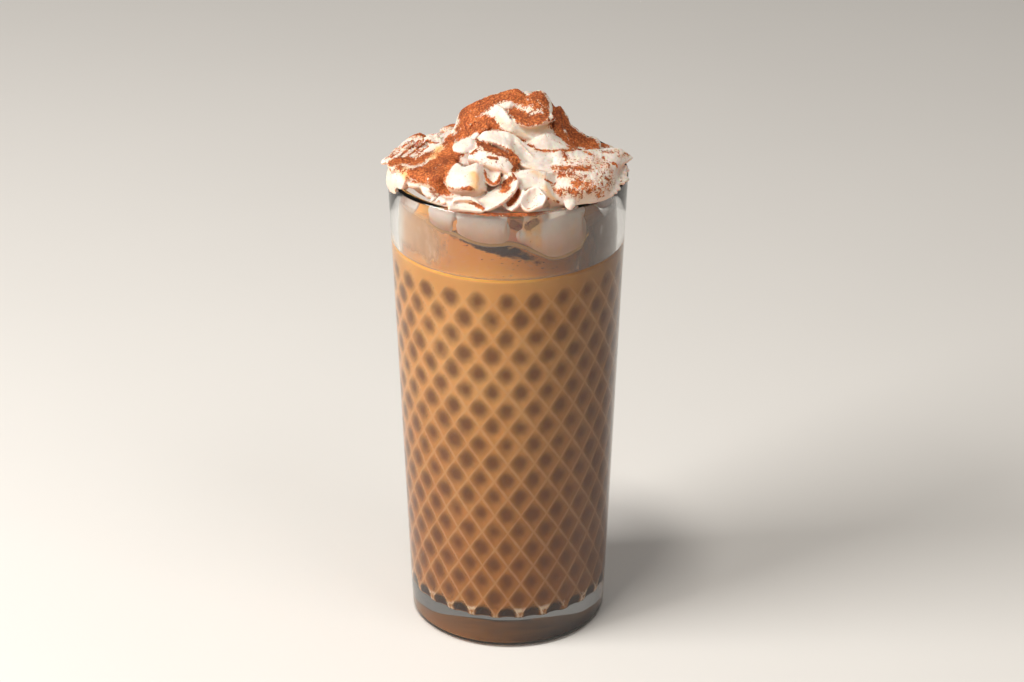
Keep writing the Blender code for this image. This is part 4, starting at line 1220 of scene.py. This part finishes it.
def creamFinish(net, place):
    look = creamLook
    cocoa, stainAndShade, shade = (net.attribute(name) for name in ("cocoa", "stainAndShade", "shade"))
    # white cream, with painted warm shade where it faces sideways or down, and amber where coffee
    # or cocoa has soaked in and where warm shade is painted
    lumps = net.noise(place, 260.0, 4.0, 0.6)
    blot = net.noise(place, 240.0, 3.0, 0.6)
    cream = net.mix(net.smooth(lumps, 0.3, 0.75), look["hollow"], look["pale"])
    # painted shade by how far the surface faces sideways or down
    paintedShade = net.smooth(shade + (lumps - 0.5) * 0.3, 0.05, 1.0)
    cream = net.mix(paintedShade * 0.75, cream, look["shade"])
    soaked = net.mix(net.smooth(stainAndShade, 0.8, 0.95), look["stainAndShade"], look["stainAndShadeDeep"])
    cream = net.mix(net.smooth(stainAndShade + (blot - 0.5) * 1.3, 0.05, 0.85), cream, soaked)
    # cocoa breaks up into specks where it is thin, over a veil of fine dust
    grain = net.noise(net.stretch(place, (1.0, 0.6, 0.8)), 1300.0, 3.0, 0.8)
    clump = net.noise(place, 420.0, 3.0, 0.65)
    cells = {"Vector": place, "Scale": 2400.0}
    speck = net.parts(net.node("ShaderNodeTexVoronoi", {"feature": "F1"}, cells, out=1))[0]
    level = (grain - 0.5) * 1.2 + (clump - 0.5) * 0.8 + (speck - 0.5) * 0.25
    lies = net.smooth(level + cocoa * 0.93, cocoaLook["coverFrom"], cocoaLook["coverTo"])
    cream = net.mix(net.smooth(cocoa + level * 0.5, 0.12, 0.85) * 0.8, cream, look["veil"])
    height = net.noise(place, 1500.0, 4.0, 0.65) * 0.5 + lies * grain
    return {
        "Base Color": net.mix(lies, cream, cocoaColour(net, place)),
        "Roughness": 0.45 + 0.1 * lumps + 0.35 * lies,
        "Normal": net.node("ShaderNodeBump", {}, {
            "Strength": look["bump"], "Distance": look["bumpDepth"] * mm, "Height": height}),
    }


def buildCream():
    look = creamLook
    folds = [*heapFolds.values(), *rimFolds.values(), *farFolds(), *crumbs()]
    sheets = [
        sheet for group in (heapSheets, leftSheets, rightSheets, frontSheets, insideSheets)
        for sheet in group.values()
    ]
    cream = addObject("whippedCream", foldsMesh(folds, sheets, "whippedCream"))
    remesh = cream.modifiers.new("join", "REMESH")
    remesh.mode = "VOXEL"
    remesh.voxel_size = look["voxel"] * mm
    smooth = cream.modifiers.new("soften", "SMOOTH")
    smooth.factor = 0.5
    smooth.iterations = look["soften"]
    cut = cream.modifiers.new("cut", "BOOLEAN")
    cut.operation = "DIFFERENCE"
    cut.solver = "MANIFOLD"
    cutter = creamCutter()
    cut.object = cutter
    applyModifiers(cream)
    bpy.data.objects.remove(cutter)
    largestBody(cream.data)
    thin = cream.modifiers.new("thin", "DECIMATE")
    cream.data.calc_loop_triangles()
    thin.ratio = min(1.0, look["triangles"] / len(cream.data.loop_triangles))
    applyModifiers(cream)
    roughen(cream.data)
    paintCocoaAndShade(cream)
    cream.data.shade_smooth()
    cream.data.materials.clear()
    cream.data.materials.append(newMaterial("whippedCream", creamFinish, **{
        "Subsurface Weight": 0.4, "Subsurface Scale": 0.0025}))
    return cream


def grainTree():
    # small lumps strewn over the cream, thicker and coarser where its cocoa attribute is high
    look = cocoaLook
    tree, net, value = newTree("cocoaGrains", ("Grain Size", "Density"))
    cocoa = net.node("GeometryNodeInputNamedAttribute", {"data_type": "FLOAT"}, {"Name": "cocoa"})
    clump = net.noise(net.node("GeometryNodeInputPosition"), 330.0, 2.0, 0.6)
    weight = net.smooth(cocoa * 0.9 + clump * 0.5, 0.42, 1.1)
    heaped = net.most(cocoa, 1.0)
    weight = net.most(weight, cocoa * 0.12) * heaped
    strewn = net.node("GeometryNodeDistributePointsOnFaces", {"distribute_method": "RANDOM"}, {
        "Mesh": value["Geometry"], "Density": weight * value["Density"], "Seed": look["seed"]})
    lump = net.node("GeometryNodeMeshUVSphere", {}, {"Segments": 4, "Rings": 2, "Radius": 0.5})
    turn = net.node("FunctionNodeRandomValue", {"data_type": "FLOAT_VECTOR"}, {
        "Min": (0.0, 0.0, 0.0), "Max": (look["grainTurn"],) * 3, "Seed": look["seed"] + 7})
    size = net.node("FunctionNodeRandomValue", {"data_type": "FLOAT_VECTOR"}, {
        "Min": look["grainLeast"], "Max": look["grainMost"], "Seed": look["seed"] + 8})
    scale = net.node("ShaderNodeVectorMath", {"operation": "SCALE"}, {
        0: size, "Scale": value["Grain Size"] * (0.85 + 0.15 * heaped)})
    placed = net.node("GeometryNodeInstanceOnPoints", {}, {
        "Points": strewn, "Instance": lump, "Rotation": turn, "Scale": scale})
    endTree(net, placed, value["Material"])
    return tree


def grainFinish(net, place):
    return {
        "Base Color": cocoaColour(net, place),
        "Roughness": 0.8 + 0.1 * net.noise(place, 900.0),
    }


def addLipStrip(bm):
    # the part of the tumbler's lip that cocoa fell on, as a strip to strew it over
    look, glass = cocoaLook, tumblerLook
    layer = bm.verts.layers.float["cocoa"]
    lip, steps, fade = glass["wall"] / 2, look["lipSteps"], look["lipFade"]
    arc = arcPoints((glass["rimRadius"] - lip, glass["height"] - lip), lip, *look["lipArc"])
    rows = []
    for step in range(steps + 1):
        angle = math.radians(look["lipFrom"] + (look["lipTo"] - look["lipFrom"]) * step / steps)
        row = [bm.verts.new(onCircle(radius, angle, height)) for radius, height, wall in arc]
        for vert in row:
            vert[layer] = look["lipAmount"] * min(1.0, step / fade, (steps - step) / fade)
        rows.append(row)
    for left, right in zip(rows, rows[1:]):
        for index in range(len(arc) - 1):
            bm.faces.new((left[index], right[index], right[index + 1], left[index + 1]))


def buildCocoa(cream):
    look = cocoaLook
    bm = bmesh.new()
    bm.from_mesh(cream.data)
    addLipStrip(bm)
    cocoa = addObject("cocoaPowder", meshFrom(bm, "cocoaPowder"))
    runTree(cocoa, grainTree(), {
        "Grain Size": look["grainSize"] * mm,
        "Density": look["grainsPerMm2"] / mm ** 2,
        "Material": newMaterial("cocoaPowder", grainFinish),
    })
    return cocoa


filmLook = {
    "top": 150.5,
    "gap": 0.3,  # over the drink
    "outside": 0.01,  # from the wall
    "inside": 0.12,
    "columns": 144,
    "steps": 12,
    "cover": 0.82,
    "left": (0.42, 1.0),  # angles from the front over which the film thickens
    "right": (0.58, 0.92),
    "side": (1.45, 2.0),  # angles over which it fades at the back
    "lowBand": (133.5, 139.0),
    "thinBelow": 0.75,
    "highBand": (145.0, 153.0),
    "milkThickens": (1.02, 1.18),
    "milkFades": (1.28, 1.7),
    "tideBand": (132.1, 133.4),
    "tideCover": 0.45,
    "tan": (0.72, 0.40, 0.19),
    "brown": (0.17, 0.075, 0.032),
    "milk": (0.92, 0.80, 0.66),
    "soaked": (0.50, 0.24, 0.05),
    "lineWidth": 0.9,
    "lineEnd": 0.76,
    "lineDepth": 20,
    # coffee drawn up along the lower edges of the flaps: angle from the front, height over the rim
    "line": (
        (-0.80, -5), (-0.75, -6.9), (-0.65, -8), (-0.58, -8.5), (-0.51, -8.2), (-0.45, -8.9),
        (-0.4, -9.4), (-0.31, -10.3), (-0.22, -10.8), (-0.13, -10.9), (-0.05, -10.6), (0, -10.1),
        (0.06, -10.4), (0.12, -10.9), (0.2, -12.5), (0.28, -14.3), (0.37, -16), (0.46, -16.5),
        (0.57, -15.8), (0.68, -14.6), (0.75, -11)),
}


def filmFinish(net, place):
    # milk left on the inside of the tumbler: thick at both sides, thin in front, a tide line at the
    # drink, and a line of coffee under the flaps
    look = filmLook
    x, y, z = net.parts(place)
    around = net.math("ARCTAN2", x, -y)
    smear = net.noise(net.stretch(place, (1.0, 1.0, 0.45)), 110.0, 5.0, 0.62)
    ragged = (smear - 0.5) * 1.1
    left = net.smooth(ragged - around, *look["left"])
    right = net.smooth(ragged + around, *look["right"])
    low = net.over(z + ragged * 0.006, look["lowBand"])
    high = 1.0 - net.over(z + ragged * 0.004, look["highBand"])
    high = high * (1.0 - net.smooth(abs(around) + ragged * 0.5, *look["side"]))
    milk = net.smooth(ragged * 0.25 - around, *look["milkThickens"])
    milk = milk * (1.0 - net.smooth(ragged * 0.7 - around, *look["milkFades"]))
    left = net.most(left * (low * look["thinBelow"] + (1.0 - look["thinBelow"])), milk)
    tide = 1.0 - net.over(z, look["tideBand"])
    cover = net.most(left, right) * high * look["cover"]
    cover = net.most(cover, tide * look["tideCover"])
    colour = net.mix(net.smooth(around, 0.1, 0.9), look["tan"], look["brown"])
    colour = net.mix(net.most(milk, net.smooth(smear, 0.60, 0.72) * 0.5), colour, look["milk"])
    # the coffee line's height is read off a colour ramp: 0 at lineDepth under the rim, 1 at the rim
    depth = look["lineDepth"]
    stops = [((angle + 1) / 2, (1 + height / depth,) * 3) for angle, height in look["line"]]
    edge = net.node("ShaderNodeValToRGB", {"stops": stops}, {0: (around + 1.0) / 2.0})
    edge = (edge - 1.0) * (depth * mm) + tumblerLook["height"] * mm
    width = look["lineWidth"] * mm
    line = 1.0 - net.smooth(abs(z - edge + ragged * 0.0015), width * 0.35, width)
    line = line * (abs(around) < look["lineEnd"])
    return {
        "Base Color": net.mix(line, colour, look["soaked"]),
        "Alpha": net.most(cover, line * 0.9),
        "Roughness": 0.4,
    }


def buildFilm():
    look = filmLook
    low, high, steps = coffeeLook["level"] + look["gap"], look["top"], look["steps"]
    heights = [low + (high - low) * step / steps for step in range(steps + 1)]
    outside = [(innerRadius(z) - look["outside"], z, 0) for z in reversed(heights)]
    inside = [(innerRadius(z) - look["inside"], z, 0) for z in heights]
    film = lathe("milkFilm", outside + inside + outside[:1], look["columns"])
    film.data.materials.append(newMaterial("milkFilm", filmFinish))
    return film


studioLook = {
    "lens": 110.17,
    "sensor": 36.0,
    "place": (0.0013, -0.904, 0.5282),
    "tilt": 64.4,
    "floor": (0.74, 0.725, 0.70),
    "floorPale": (0.78, 0.765, 0.74),
    "floorSize": 3.0,
    "sky": (1.0, 0.95, 0.89),
    "skyStrength": 0.175,
    # place, height that it is aimed at on the axis, size, power and colour
    "keyLight": ((-0.88, -0.34, 0.72), 0.1, 0.6, 16.0, (1.0, 0.965, 0.92)),
    "topLight": ((-0.12, -0.25, 1.15), 0.15, 0.16, 4.5, (1.0, 0.95, 0.88)),
    "fillLight": ((0.55, -0.5, 0.95), 0.15, 0.5, 2.4, (1.0, 0.96, 0.92)),
}


def floorFinish(net, place):
    cloud = net.noise(place, 6.0, 4.0)
    return {"Base Color": net.mix(cloud, studioLook["floor"], studioLook["floorPale"])}


def softLight(name, place, aim, size, power, colour):
    data = bpy.data.lights.new(name, "AREA")
    data.energy = power
    data.size = size
    data.color = colour
    made = addObject(name, data)
    made.location = place
    towards = Vector((0, 0, aim)) - Vector(place)
    made.rotation_euler = towards.to_track_quat("-Z", "Y").to_euler()


def buildStudio():
    look = studioLook
    bm = bmesh.new()
    bmesh.ops.create_grid(bm, x_segments=8, y_segments=8, size=look["floorSize"])
    ground = addObject("floor", meshFrom(bm, "floor"))
    ground.data.materials.append(newMaterial("paleFloor", floorFinish, Roughness=0.6))
    for name in ("keyLight", "topLight", "fillLight"):
        softLight(name, *look[name])
    world = bpy.data.worlds.new("studio")
    bpy.context.scene.world = world
    world.use_nodes = True
    sky = world.node_tree.nodes["Background"].inputs
    sky["Color"].default_value = (*look["sky"], 1.0)
    sky["Strength"].default_value = look["skyStrength"]
    data = bpy.data.cameras.new("camera")
    data.lens = look["lens"]
    data.sensor_width = look["sensor"]
    data.clip_start = 0.01
    camera = addObject("camera", data)
    camera.location = look["place"]
    camera.rotation_euler = (math.radians(look["tilt"]), 0, 0)
    bpy.context.scene.camera = camera
    bpy.context.scene.view_settings.view_transform = "Standard"


reliefTree = padReliefTree()
tumblerPiece = buildTumbler(reliefTree)
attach(tumblerPiece, "root")
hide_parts("glass")
print("tumbler:", len(tumblerPiece.data.polygons), "faces")

coffeePiece = buildCoffee(reliefTree)
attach(coffeePiece, "root")
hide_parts("iced_coffee")
print("coffee:", len(coffeePiece.data.polygons), "faces")

creamPiece = buildCream()
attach(creamPiece, "root")
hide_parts("whipped_cream")
print("cream:", len(creamPiece.data.polygons), "faces")

cocoaPiece = buildCocoa(creamPiece)
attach(cocoaPiece, "root")
print("cocoa:", len(cocoaPiece.data.polygons), "faces")

filmPiece = buildFilm()
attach(filmPiece, "root")
print("film:", len(filmPiece.data.polygons), "faces")

buildStudio()
print("studio ready")
